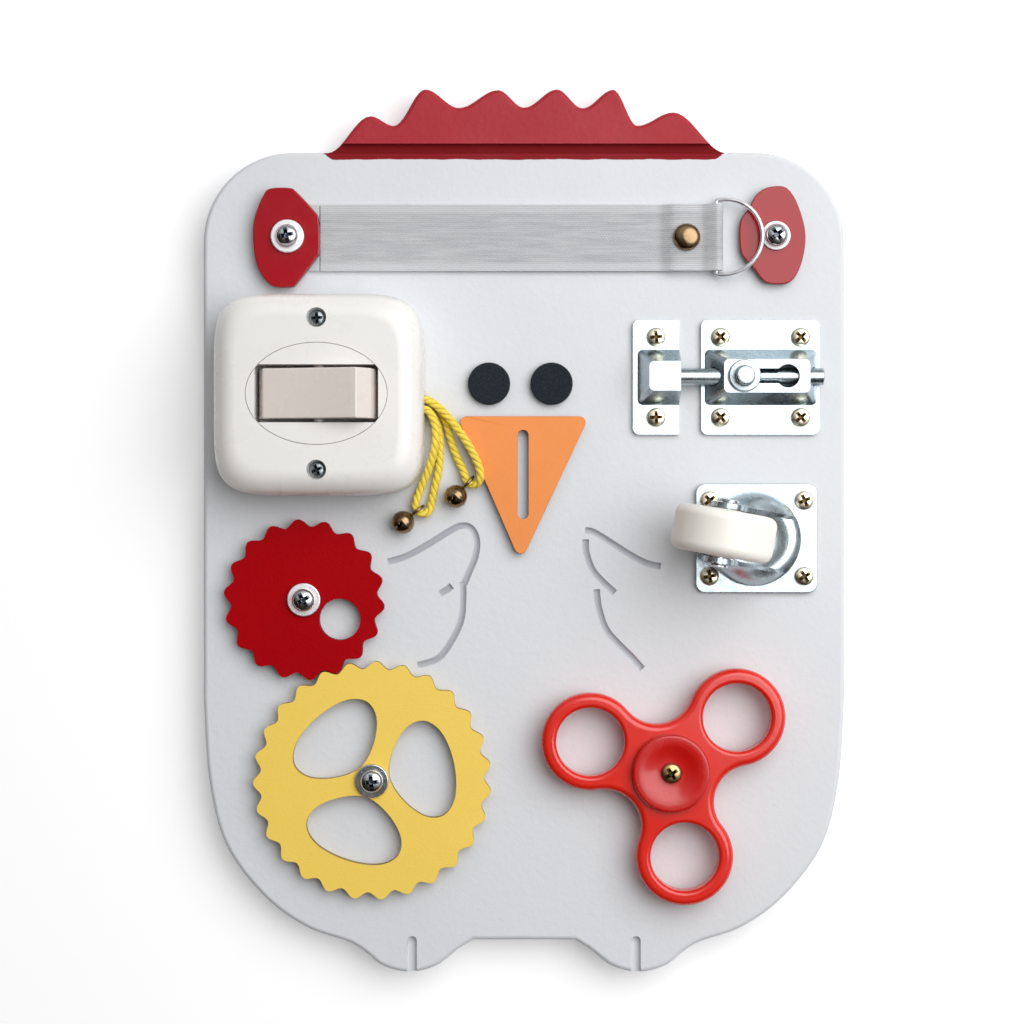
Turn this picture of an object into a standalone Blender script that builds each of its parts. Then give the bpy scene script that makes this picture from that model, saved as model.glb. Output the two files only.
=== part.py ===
"""A child's busy board: a painted wooden board with small things to turn, slide, press and lift.

Lengths are in metres. The board lies on its back. The origin is at the middle of its back
face, +Z comes out of the painted front, +Y runs up to the comb and +X runs to the right.
"""

import math

import bmesh
import bpy
from mathutils import Matrix, Vector

MM = 0.001

# Angles in degrees, and the sides of small round pins
HALF_TURN = 180
THIRD_TURN = 120
PIN_SIDES = 12

# Fits that many pieces share
SEAT_GAP = 0.3 * MM
CUT_OVERRUN = 1.0 * MM
WELD_DISTANCE = 0.001 * MM
RUNNING_CLEARANCE = 0.35 * MM

# The board, with its comb and its feet cut from the same panel
BOARD_WIDTH = 200.6 * MM
BOARD_LENGTH = 276.4 * MM
BOARD_THICKNESS = 12.0 * MM
BOARD_TOP_RADIUS = 28.0 * MM
BOARD_EDGE_ROUND = 1.5 * MM
COMB_HEIGHT = 19.9 * MM
COMB_GROOVE_WIDTH = 3.2 * MM
COMB_GROOVE_DEPTH = 1.8 * MM
COMB_GROOVE_DROP = 0.5 * MM
TOE_GROOVE_WIDTH = 3.0 * MM
TOE_GROOVE_DEPTH = 2.0 * MM
TOE_GROOVE_LENGTH = 11.4 * MM
TOE_SPACING = 70.0 * MM
WING_GROOVE_WIDTH = 1.9 * MM
FRONT = BOARD_THICKNESS

# Right half of the lower edge, from the crotch between the feet out to the straight side,
# as shares of the half width and the half length
LOWER_EDGE_SHARES = (
    (0.158, -0.927),
    (0.205, -0.948),
    (0.275, -0.986),
    (0.357, -1.0),
    (0.440, -0.986),
    (0.495, -0.955),
    (0.550, -0.931),
    (0.682, -0.897),
    (0.814, -0.826),
    (0.931, -0.711),
    (0.983, -0.564),
    (1.0, -0.384),
)
# Tips and dips of the comb, right to left, as shares of the half width and the comb's height
COMB_SHARES = (
    (0.632, 0.0),
    (0.466, 0.638),
    (0.354, 0.427),
    (0.279, 0.995),
    (0.183, 0.704),
    (0.103, 1.0),
    (0.0, 0.714),
    (-0.081, 0.99),
    (-0.203, 0.709),
    (-0.308, 1.0),
    (-0.407, 0.427),
    (-0.479, 0.578),
    (-0.614, 0.0),
)
# Strokes of the two carved wings, as shares of the half width and the half length
WING_STROKE_SHARES = (
    ((0.190, 0.0), (0.218, -0.004), (0.276, -0.030), (0.333, -0.056), (0.383, -0.074), (0.426, -0.081)),
    ((0.192, -0.020), (0.194, -0.050), (0.212, -0.087), (0.240, -0.112), (0.283, -0.141)),
    ((0.226, -0.133), (0.233, -0.175), (0.255, -0.222), (0.290, -0.253), (0.333, -0.284), (0.369, -0.313)),
    (
        (-0.425, -0.071),
        (-0.367, -0.058),
        (-0.296, -0.030),
        (-0.225, 0.002),
        (-0.189, 0.011),
        (-0.161, 0.002),
        (-0.147, -0.025),
        (-0.153, -0.061),
        (-0.175, -0.097),
        (-0.192, -0.113),
    ),
    ((-0.191, -0.149), (-0.196, -0.201), (-0.225, -0.248), (-0.268, -0.289), (-0.332, -0.305)),
    ((-0.262, -0.139), (-0.243, -0.131), (-0.225, -0.121)),
)

# Eyes and beak
EYE_RADIUS = 6.6 * MM
EYE_THICKNESS = 2.4 * MM
EYE_ROUND = 0.6 * MM
EYE_SPACING = 19.5 * MM
EYES_MIDDLE_X = -1.15 * MM
EYES_Y = 45.8 * MM
BEAK_THICKNESS = 3.0 * MM
BEAK_WIDTH = 41.2 * MM
BEAK_HEIGHT = 45.6 * MM
BEAK_X = -0.3 * MM
BEAK_TIP_OFFSET = 0.8 * MM
BEAK_TOP_Y = 35.6 * MM
BEAK_CORNER = 2.0 * MM
BEAK_SLOT_WIDTH = 3.3 * MM
BEAK_SLOT_LENGTH = 27.7 * MM
BEAK_SLOT_TOP = 4.3 * MM

# Screws that hold the larger pieces, and their washers
SHANK_RADIUS = 1.75 * MM
HEAD_RADIUS = 3.7 * MM
HEAD_HEIGHT = 2.6 * MM
WOOD_BEHIND_TIP = 2.5 * MM
WASHER_RADIUS = 5.2 * MM
WASHER_THICKNESS = 1.0 * MM

# Small screws of the latch and the caster
SMALL_SHANK_RADIUS = 1.3 * MM
SMALL_HEAD_RADIUS = 2.9 * MM
SMALL_HEAD_HEIGHT = 1.6 * MM
SMALL_WOOD_BEHIND_TIP = 4.5 * MM

# Strap with its clamp, its rivet and its ring
STRAP_WIDTH = 21.3 * MM
STRAP_THICKNESS = 1.2 * MM
STRAP_Y = 91.3 * MM
STRAP_HINGE_X = -62.9 * MM
STRAP_BAR_X = 59.8 * MM
STRAP_TAIL_LENGTH = 12.8 * MM
STRAP_STEP = 4.5 * MM
CLAMPED_LENGTH = 16.5 * MM
CLAMP_CENTRE_X = -73.8 * MM
CLAMP_SCREW_X = -73.4 * MM
PLATE_WIDTH = 20.5 * MM
PLATE_LENGTH = 30.8 * MM
PLATE_THICKNESS = 3.0 * MM
TURN_BUTTON_X = 78.3 * MM
TURN_BUTTON_Y = 91.7 * MM
TURN_BUTTON_WASHER_RADIUS = 4.5 * MM
RIVET_X = 50.6 * MM
RIVET_HEAD_RADIUS = 4.2 * MM
RIVET_HEAD_HEIGHT = 2.3 * MM
RIVET_SHANK_RADIUS = 1.5 * MM
RING_WIRE_RADIUS = 0.7 * MM
RING_ARM = 2.9 * MM
RING_CORNER = 1.0 * MM
RING_TILT = 16.0
# Outline of the clamp's plate, as shares of its half width and half length
CLAMP_SHARES = (
    (0.10, 1.0),
    (-0.48, 0.99),
    (-0.70, 0.85),
    (-0.98, 0.36),
    (-1.0, -0.15),
    (-0.88, -0.58),
    (-0.63, -0.86),
    (-0.36, -0.99),
    (0.13, -1.0),
    (0.34, -0.91),
    (0.90, -0.42),
    (1.0, -0.26),
    (0.98, 0.36),
    (0.83, 0.55),
    (0.31, 0.92),
)
# Outline of the turn button from its screw, as shares of the plate's half width and half length
TURN_BUTTON_SHARES = (
    (0.23, 1.0),
    (-0.24, 0.98),
    (-0.58, 0.84),
    (-0.83, 0.55),
    (-1.07, 0.30),
    (-1.10, -0.11),
    (-1.01, -0.40),
    (-0.68, -0.65),
    (-0.39, -0.90),
    (-0.10, -0.97),
    (0.41, -0.94),
    (0.71, -0.68),
    (0.88, -0.26),
    (0.89, 0.13),
    (0.71, 0.57),
    (0.49, 0.86),
)

# Switch
SWITCH_X = -62.8 * MM
SWITCH_Y = 41.6 * MM
SWITCH_WIDTH = 63.8 * MM
SWITCH_LENGTH = 61.5 * MM
SWITCH_HEIGHT = 22.7 * MM
SWITCH_SHOULDER = 7.5 * MM
SWITCH_WALL = 2.2 * MM
SWITCH_SQUARENESS = 5.5
BASE_THICKNESS = 2.5 * MM
POST_RADIUS = 3.4 * MM
COVER_SCREW_OFFSET = 23.0 * MM
COVER_SCREW_RECESS = 3.0 * MM
COVER_SCREW_SINK = 3.6 * MM
COVER_SCREW_HEAD = 2.5 * MM
COVER_SCREW_HEAD_HEIGHT = 1.5 * MM
COVER_SCREW_SHANK = 1.3 * MM
COVER_SCREW_LENGTH = 10.0 * MM
COVER_BOSS_RADIUS = 4.0 * MM
COVER_BOSS_DEPTH = 6.5 * MM
MODULE_WIDTH = 43.0 * MM
MODULE_LENGTH = 31.0 * MM
MODULE_BODY_WIDTH = 41.6 * MM
MODULE_BODY_LENGTH = 22.0 * MM
MODULE_BODY_CORNER = 2.0 * MM
WINDOW_WIDTH = 37.3 * MM
WINDOW_LENGTH = 17.5 * MM
WINDOW_DEPTH = 15.0 * MM
ROCKER_LENGTH = 15.2 * MM
ROCKER_RADIUS = 18.0 * MM
ROCKER_PIVOT_DEPTH = 6.5 * MM
ROCKER_BOTTOM = 3.6 * MM
ROCKER_DIP = 0.5 * MM
ROCKER_CREST = 9.3 * MM
ROCKER_CREST_HALF = 14.7 * MM
ROCKER_END_ANGLE = 12.0
ROCKER_TILT = 12.0
ROCKER_PIN_RADIUS = 1.6 * MM
ROCKER_PIN_REACH = 10.2 * MM
ROCKER_BORE_RADIUS = 2.3 * MM
ROCKER_BORE_ABOVE_PIVOT = 3.0 * MM
SPRING_RADIUS = 1.9 * MM
SPRING_HOLLOW = 1.1 * MM
SPRING_LENGTH = 4.4 * MM
CORD_NOTCH_Y = 39.5 * MM
CORD_NOTCH_WIDTH = 8.0 * MM
CORD_NOTCH_HEIGHT = 6.2 * MM

# Gears
GEAR_MODULE = 2.667 * MM
YELLOW_TEETH = 27
RED_TEETH = 18
GEAR_THICKNESS = 3.0 * MM
TOOTH_HEIGHT = 2.3 * MM
TOOTH_RELIEF = 0.15 * MM
YELLOW_GEAR_X = -47.2 * MM
YELLOW_GEAR_Y = -77.6 * MM
YELLOW_TIP_ANGLE = 7.93
GEAR_LINE_ANGLE = 110.6
GEAR_SPACER_THICKNESS = 1.0 * MM
FINGER_HOLE_RADIUS = 6.4 * MM
FINGER_HOLE_OFFSET = 12.67 * MM
FINGER_HOLE_ANGLE = -28.8
GEAR_WINDOW_REACH = 26.0 * MM
GEAR_WINDOW_ANGLE = 11.5
# Half of one gear window, from its inner end to its outer edge, as shares of its reach
GEAR_WINDOW_SHARES = (
    (0.21, 0.0),
    (0.32, 0.31),
    (0.54, 0.545),
    (0.77, 0.57),
    (0.94, 0.37),
    (1.0, 0.0),
)

# Barrel latch and its keeper
LATCH_Y = 47.8 * MM
LATCH_SHEET = 1.2 * MM
LATCH_PLATE_X = 73.7 * MM
LATCH_PLATE_WIDTH = 37.0 * MM
LATCH_PLATE_LENGTH = 35.8 * MM
LATCH_PLATE_CORNER = 2.0 * MM
LATCH_SCREW_SPACING = 25.0 * MM
LATCH_HAT_WIDTH = 35.5 * MM
LATCH_HAT_LENGTH = 17.8 * MM
LATCH_HAT_TOP_WIDTH = 26.6 * MM
LATCH_HAT_TOP_LENGTH = 10.4 * MM
LATCH_HAT_TOP_SHIFT = 1.25 * MM
LATCH_TOP_CLEARANCE = 0.4 * MM
ROD_RADIUS = 2.7 * MM
ROD_LEFT_X = 41.6 * MM
ROD_RIGHT_X = 93.0 * MM
ROD_CHAMFER = 0.5 * MM
LATCH_TRAVEL = 13.5 * MM
KEEPER_X = 41.15 * MM
KEEPER_WIDTH = 14.5 * MM
KEEPER_HAT_LEFT_X = 35.2 * MM
KEEPER_HAT_TOP_LEFT_X = 38.6 * MM
KEEPER_HAT_TOP_LENGTH = 9.2 * MM
KNOB_X = 67.9 * MM
KNOB_STEM_RADIUS = 1.2 * MM
KNOB_STEM_DEPTH = 2.4 * MM
KNOB_NECK_RADIUS = 1.9 * MM
KNOB_DISC_RADIUS = 5.0 * MM
KNOB_DISC_THICKNESS = 1.6 * MM
KNOB_BUTTON_RADIUS = 3.1 * MM
KNOB_BUTTON_HEIGHT = 1.7 * MM
KEYHOLE_SLOT_WIDTH = 4.5 * MM
KEYHOLE_ROUND_RADIUS = 3.6 * MM

# Caster
CASTER_PLATE_X = 72.5 * MM
CASTER_PLATE_Y = -2.4 * MM
CASTER_PLATE_WIDTH = 38.0 * MM
CASTER_PLATE_LENGTH = 34.0 * MM
CASTER_PLATE_THICKNESS = 1.6 * MM
CASTER_PLATE_CORNER = 3.0 * MM
CASTER_SCREW_SPACING_X = 29.5 * MM
CASTER_SCREW_SPACING_Y = 23.6 * MM
SWIVEL_X = 71.5 * MM
SWIVEL_Y = -2.6 * MM
CASTER_DIRECTION = 170.0
CASTER_TRAIL = 11.5 * MM
CROWN_RADIUS = 14.6 * MM
CROWN_DISH_RADIUS = 9.4 * MM
CROWN_RIDGE = 1.6 * MM
FORK_SHEET = 1.5 * MM
FORK_GAP = 15.2 * MM
FORK_END_RADIUS = 5.0 * MM
FORK_ARC_START = 38.0
KINGPIN_RADIUS = 3.0 * MM
KINGPIN_HEAD_RADIUS = 5.2 * MM
KINGPIN_HEAD_HEIGHT = 1.3 * MM
WHEEL_RADIUS = 15.5 * MM
WHEEL_WIDTH = 14.0 * MM
WHEEL_SHOULDER = 3.0 * MM
WHEEL_HUB_RADIUS = 4.6 * MM
WHEEL_FACE_SINK = 1.0 * MM
WHEEL_RIM = 3.2 * MM
WHEEL_CLEARANCE = 1.6 * MM
AXLE_RADIUS = 2.0 * MM
AXLE_HEAD_RADIUS = 3.2 * MM
AXLE_HEAD_HEIGHT = 1.1 * MM

# Spinner
SPINNER_X = 45.2 * MM
SPINNER_Y = -74.5 * MM
SPINNER_ANGLE = 39.4
SPINNER_THICKNESS = 7.0 * MM
LOBE_DISTANCE = 26.5 * MM
LOBE_RADIUS = 15.1 * MM
LOBE_HOLE_RADIUS = 10.5 * MM
WAIST_RADIUS = 15.2 * MM
SPINNER_ROUND = 2.0 * MM
SPINNER_HOLE_ROUND = 1.2 * MM
BEARING_OUTER_RADIUS = 11.0 * MM
BEARING_BORE_RADIUS = 4.0 * MM
BEARING_RACE = 1.8 * MM
CAGE_WAVE = 0.55 * MM
BALL_COUNT = 7
SPACER_RADIUS = 5.5 * MM
SPACER_HEIGHT = 2.0 * MM
CAP_RADIUS = 12.0 * MM
CAP_THICKNESS = 2.6 * MM
CAP_DISH_RADIUS = 8.6 * MM
CAP_DISH_DEPTH = 1.0 * MM
CAP_ROUND = 0.9 * MM
SPINNER_SCREW_HEAD = 3.0 * MM

# Cords and bells
CORD_RADIUS = 1.3 * MM
BELL_RADIUS = 3.7 * MM
BELL_WALL = 0.6 * MM
BELL_SLOT_WIDTH = 0.9 * MM
BELL_MOUTH_RADIUS = 0.9 * MM
EYELET_WIRE = 0.5 * MM
EYELET_RADIUS = 2.1 * MM
BELL_LEFT_EYELET = (-33.2 * MM, 6.2 * MM, 15.2 * MM)
BELL_LEFT_ANGLE = 219.0
BELL_RIGHT_EYELET = (-17.4 * MM, 14.9 * MM, 15.2 * MM)
BELL_RIGHT_ANGLE = 228.0
# Routes of the two cords in millimetres, each from the switch, through its bell and back
CORD_LEFT_ROUTE = (
    (-32.7, 38.1, 16.6),
    (-30.6, 37.6, 16.6),
    (-28.7, 35.8, 16.6),
    (-27.4, 31.8, 16.6),
    (-27.6, 26.4, 16.5),
    (-29.4, 19.8, 15.1),
    (-32.2, 13.2, 13.8),
    (-33.4, 9.8, 14.4),
    (-33.75, 7.8, 14.9),
    (-33.2, 6.2, 15.2),
    (-31.9, 5.35, 15.2),
    (-30.4, 5.5, 14.9),
    (-29.3, 6.6, 14.5),
    (-28.8, 8.6, 14.1),
    (-27.9, 13.0, 13.7),
    (-26.5, 19.6, 13.7),
    (-26.2, 27.0, 13.7),
    (-27.0, 32.8, 13.7),
    (-29.2, 36.6, 13.7),
    (-32.7, 38.1, 13.7),
)
CORD_RIGHT_ROUTE = (
    (-32.7, 41.0, 16.6),
    (-30.6, 40.7, 16.6),
    (-28.3, 39.6, 16.6),
    (-25.2, 37.0, 16.6),
    (-21.6, 32.9, 16.8),
    (-18.1, 27.9, 16.9),
    (-15.3, 22.9, 16.9),
    (-13.9, 19.4, 16.9),
    (-13.6, 16.8, 16.8),
    (-14.25, 14.98, 16.0),
    (-15.8, 14.3, 15.4),
    (-17.4, 14.9, 15.2),
    (-18.2, 16.5, 14.9),
    (-19.0, 18.9, 14.3),
    (-20.6, 22.3, 13.8),
    (-22.4, 27.0, 13.7),
    (-23.9, 32.6, 13.7),
    (-25.8, 36.9, 13.7),
    (-28.8, 40.0, 13.7),
    (-32.7, 41.0, 13.7),
)

# Colours in screen values from 0 to 255, then roughness and metallic
FINISHES = {
    "white_paint": ((219, 221, 225), 0.55, 0.0),
    "red_paint": ((168, 12, 24), 0.5, 0.0),
    "crimson_paint": ((165, 30, 48), 0.5, 0.0),
    "yellow_paint": ((240, 208, 100), 0.5, 0.0),
    "orange_paint": ((243, 150, 85), 0.55, 0.0),
    "black_felt": ((35, 40, 48), 0.9, 0.0),
    "grey_webbing": ((190, 190, 193), 0.7, 0.0),
    "white_plastic": ((245, 243, 238), 0.4, 0.0),
    "beige_plastic": ((215, 205, 200), 0.4, 0.0),
    "red_plastic": ((230, 60, 45), 0.3, 0.0),
    "dark_red_plastic": ((200, 35, 28), 0.35, 0.0),
    "ivory_nylon": ((250, 243, 232), 0.35, 0.0),
    "grey_plastic": ((120, 122, 126), 0.5, 0.0),
    "nickel": ((205, 210, 212), 0.25, 1.0),
    "steel": ((190, 192, 195), 0.3, 1.0),
    "brass": ((196, 158, 92), 0.3, 1.0),
    "antique_brass": ((150, 122, 84), 0.3, 1.0),
    "yellow_cord": ((245, 215, 50), 0.85, 0.0),
}


def shader_colour(red, green, blue):
    """Screen values from 0 to 255 as the linear colour that a shader takes."""
    return tuple((value / 255) ** 2.2 for value in (red, green, blue)) + (1.0,)


def finish_material(name):
    """The material of one finish, made the first time that it is asked for."""
    if name in bpy.data.materials:
        return bpy.data.materials[name]
    colour, roughness, metallic = FINISHES[name]
    material = bpy.data.materials.new(name)
    material.use_nodes = True
    shader = material.node_tree.nodes["Principled BSDF"]
    shader.inputs["Base Color"].default_value = shader_colour(*colour)
    shader.inputs["Roughness"].default_value = roughness
    shader.inputs["Metallic"].default_value = metallic
    material.diffuse_color = shader_colour(*colour)
    return material


def clear_scene():
    for old in list(bpy.data.objects):
        bpy.data.objects.remove(old, do_unlink=True)


def mesh_object(name, bm):
    """An object holding the mesh, with its faces turned outwards and its round faces smooth."""
    bmesh.ops.recalc_face_normals(bm, faces=bm.faces)
    mesh = bpy.data.meshes.new(name)
    bm.to_mesh(mesh)
    bm.free()
    mesh.shade_smooth()
    mesh.set_sharp_from_angle(angle=math.radians(35))
    made = bpy.data.objects.new(name, mesh)
    bpy.context.scene.collection.objects.link(made)
    return made


def piece(name, bm, finish, location=(0, 0, 0), parent=None):
    made = mesh_object(name, bm)
    made.data.materials.append(finish_material(finish))
    made.location = location
    made.parent = parent
    return made


def copy_of(original, name, location):
    """Another object that shares the original's mesh."""
    made = bpy.data.objects.new(name, original.data)
    bpy.context.scene.collection.objects.link(made)
    made.location = location
    made.parent = original.parent
    return made


def axis_empty(name, location, turn=0.0):
    """An empty on a joint's axis, turned about the vertical by an angle in degrees."""
    made = bpy.data.objects.new(name, None)
    bpy.context.scene.collection.objects.link(made)
    made.location = location
    made.rotation_euler.z = math.radians(turn)
    return made


def reshape(target, bm, name, operation="DIFFERENCE"):
    """Cuts the helper shape from the target, or joins it on. The shape is in the target's own frame."""
    helper = mesh_object(name, bm)
    helper.parent = target
    helper.hide_render = True
    helper.display_type = "WIRE"
    modifier = target.modifiers.new(name, "BOOLEAN")
    modifier.operation = operation
    modifier.object = helper
    return target


def ring(bm, outline, height):
    return [bm.verts.new((x, y, height)) for x, y in outline]


def wall(bm, lower, upper):
    """The faces between two rings with the same number of points."""
    for i in range(len(lower)):
        j = (i + 1) % len(lower)
        bm.faces.new((lower[i], lower[j], upper[j], upper[i]))


def cap(bm, rings):
    """A flat face that fills the first ring, less the rings inside it."""
    edges = []
    for points in rings:
        for i, point in enumerate(points):
            pair = (points[i - 1], point)
            edges.append(bm.edges.get(pair) or bm.edges.new(pair))
    bmesh.ops.triangle_fill(bm, use_beauty=True, edges=edges)


def inset_outline(outline, amount):
    """The outline, which runs anticlockwise, moved inwards by the amount."""
    if not amount:
        return outline
    moved = []
    count = len(outline)
    for i in range(count):
        before, here, after = (Vector(outline[j % count]) for j in (i - 1, i, i + 1))
        first = (here - before).normalized()
        second = (after - here).normalized()
        inwards = Vector((-first.y - second.y, first.x + second.x))
        moved.append(here + inwards * amount / (1 + first.dot(second)))
    return moved


def straight(bottom, top):
    return ((0, bottom), (0, top))


def rounded_levels(bottom, top, radius, lower=True, steps=2, sign=1):
    """Levels of (inset, height) with a quarter round at the top, and one below where asked."""
    levels = []
    for i in range(steps if lower else 0):
        angle = math.pi / 2 * i / steps
        levels.append((sign * radius * (1 - math.sin(angle)), bottom + radius * (1 - math.cos(angle))))
    levels.append((0, bottom + radius if lower else bottom))
    for i in range(steps + 1):
        angle = math.pi / 2 * i / steps
        levels.append((sign * radius * (1 - math.cos(angle)), top - radius * (1 - math.sin(angle))))
    return levels


def slab(*loops):
    """A solid with flat ends. Each loop is an outline and its levels of (inset, height), going up.

    The first loop is the outside, and the others are holes right through it.
    """
    bm = bmesh.new()
    bottoms = []
    tops = []
    for outline, levels in loops:
        rings = [ring(bm, inset_outline(outline, inset), height) for inset, height in levels]
        for lower, upper in zip(rings, rings[1:]):
            wall(bm, lower, upper)
        bottoms.append(rings[0])
        tops.append(rings[-1])
    cap(bm, bottoms)
    cap(bm, tops)
    return bm


def turned(profile, segments):
    """A profile of (radius, height) turned about Z: closed on itself, or on the axis at both ends."""
    bm = bmesh.new()
    points = [bm.verts.new((radius, 0, height)) for radius, height in profile]
    follows = points[1:] + points[:1] if profile[0][0] > 0 else points[1:]
    lines = [bm.edges.new(pair) for pair in zip(points, follows)]
    upright = {"axis": (0, 0, 1), "cent": (0, 0, 0)}
    bmesh.ops.spin(bm, geom=points + lines, **upright, steps=segments, angle=math.tau, use_merge=True)
    bmesh.ops.remove_doubles(bm, verts=bm.verts, dist=WELD_DISTANCE)
    return bm


def disc(radius, bottom, top, segments):
    return turned(((0, bottom), (radius, bottom), (radius, top), (0, top)), segments)


def tube(inner, outer, bottom, top, segments):
    return turned(((inner, bottom), (outer, bottom), (outer, top), (inner, top)), segments)


def box(low, high):
    bm = bmesh.new()
    size = Vector(high) - Vector(low)
    place = Matrix.Translation((Vector(low) + Vector(high)) / 2) @ Matrix.Diagonal((*size, 1))
    bmesh.ops.create_cube(bm, size=1, matrix=place)
    return bm


def moved(bm, offset=(0, 0, 0), turn=0.0, axis="Z"):
    """The mesh turned about an axis through the origin by an angle in degrees, then moved."""
    bm.transform(Matrix.Translation(Vector(offset)) @ Matrix.Rotation(math.radians(turn), 4, axis))
    return bm


def joined(meshes):
    """Several meshes that don't touch, as one."""
    whole = bmesh.new()
    for bm in meshes:
        part = bpy.data.meshes.new("joined")
        bm.to_mesh(part)
        bm.free()
        whole.from_mesh(part)
        bpy.data.meshes.remove(part)
    return whole


def arc(centre, radius, start, end, steps):
    """Points on an arc from one angle to another, in degrees, both ends included."""
    angles = [math.radians(start + (end - start) * i / steps) for i in range(steps + 1)]
    return [(centre[0] + radius * math.cos(a), centre[1] + radius * math.sin(a)) for a in angles]


def circle(centre, radius, steps=24):
    return arc(centre, radius, 0, 360, steps)[:-1]


def rounded_polygon(corners, radius, steps=4):
    """The polygon, which runs anticlockwise, with each corner rounded by an arc."""
    outline = []
    count = len(corners)
    for i in range(count):
        before, here, after = (Vector(corners[j % count]) for j in (i - 1, i, i + 1))
        inwards = (before - here).normalized()
        outwards = (after - here).normalized()
        half = inwards.angle(outwards) / 2
        middle = (inwards + outwards).normalized()
        centre = here + middle * radius / math.sin(half)
        spread = 90 - math.degrees(half)
        facing = math.degrees(math.atan2(-middle.y, -middle.x))
        outline += arc(centre, radius, facing - spread, facing + spread, steps)
    return outline


def rectangle(width, length, centre=(0, 0)):
    """Corners of a rectangle, anticlockwise from its lower left."""
    x, y = width / 2, length / 2
    return [(centre[0] + a * x, centre[1] + b * y) for a, b in ((-1, -1), (1, -1), (1, 1), (-1, 1))]


def smooth_line(points, steps, closed=False):
    """Points along one smooth curve through the given points."""
    given = [Vector(point) for point in points]
    count = len(given)
    line = []
    for i in range(count if closed else count - 1):
        here, after = given[i], given[(i + 1) % count]
        before = given[i - 1] if closed or i else here
        beyond = given[(i + 2) % count] if closed or i + 2 < count else after
        for step in range(steps):
            t = step / steps
            swing = (after - before) * t + (2 * before - 5 * here + 4 * after - beyond) * t**2
            line.append((2 * here + swing + (3 * here - before - 3 * after + beyond) * t**3) / 2)
    return line if closed else line + [given[-1]]


def curve_object(name, points, radius, sides, finish, closed=False):
    """A round wire or cord along the points, as a curve with a bevel and filled ends."""
    curve = bpy.data.curves.new(name, "CURVE")
    curve.dimensions = "3D"
    curve.bevel_depth = radius
    curve.bevel_resolution = sides // 2 - 2
    curve.use_fill_caps = not closed
    spline = curve.splines.new("POLY")
    spline.points.add(len(points) - 1)
    spline.use_cyclic_u = closed
    for target, point in zip(spline.points, points):
        target.co = (*point, 1)
    made = bpy.data.objects.new(name, curve)
    curve.materials.append(finish_material(finish))
    bpy.context.scene.collection.objects.link(made)
    return made


def shares_of(width, length, shares):
    """Points given as shares of a half width and a half length, in real sizes."""
    return [(x * width / 2, y * length / 2) for x, y in shares]


def pan_screw(head_radius, head_height, shank_radius, length, segments=12):
    """A screw whose head sits on z = 0, with its shank below."""
    dome = [
        (head_radius * math.cos(a), head_height * (0.3 + 0.7 * math.sin(a)))
        for a in (0, math.radians(50))
    ]
    return turned(
        (
            (0, -length),
            (shank_radius, shank_radius - length),
            (shank_radius, 0),
            (head_radius, 0),
            *dome,
            (0, head_height),
        ),
        segments,
    )


def washer(name, place, inner, outer, bottom, finish="nickel"):
    return piece(name, tube(inner, outer, 0, WASHER_THICKNESS, 14), finish, (*place, bottom))


def board_outline():
    """The whole edge of the board, anticlockwise from the crotch between the feet."""
    lower_edge = shares_of(BOARD_WIDTH, BOARD_LENGTH, LOWER_EDGE_SHARES)
    lower = [tuple(point) for point in smooth_line(lower_edge, 2)]
    half = BOARD_WIDTH / 2
    top = BOARD_LENGTH / 2 - COMB_HEIGHT
    corner = (half - BOARD_TOP_RADIUS, top - BOARD_TOP_RADIUS)
    comb = []
    for (x, low), (next_x, next_low) in zip(COMB_SHARES, COMB_SHARES[1:]):
        for step in range(3):
            t = step / 3
            rise = (1 - math.cos(math.pi * t)) / 2
            comb.append((half * (x + (next_x - x) * t), top + COMB_HEIGHT * (low + (next_low - low) * rise)))
    comb.append((half * COMB_SHARES[-1][0], top))
    right = arc(corner, BOARD_TOP_RADIUS, 0, 90, 7)
    left = [(-x, y) for x, y in reversed(right)]
    return lower + right + comb + left + [(-x, y) for x, y in reversed(lower)]


def wing_stroke(shares):
    """A stroke of the V-shaped carving tool, along a smooth line in the board's front."""
    line = smooth_line(shares_of(BOARD_WIDTH, BOARD_LENGTH, shares), 2)
    half = WING_GROOVE_WIDTH / 2
    bm = bmesh.new()
    rings = []
    for i, point in enumerate(line):
        run = (line[min(i + 1, len(line) - 1)] - line[max(i - 1, 0)]).normalized()
        across = Vector((-run.y, run.x))
        sides = ((1, 0), (0, 1), (-1, 0), (0, -1))
        rings.append([bm.verts.new((*(point + across * half * a), FRONT + half * b)) for a, b in sides])
    for lower, upper in zip(rings, rings[1:]):
        wall(bm, lower, upper)
    bm.faces.new(rings[0])
    bm.faces.new(rings[-1])
    return bm


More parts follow.
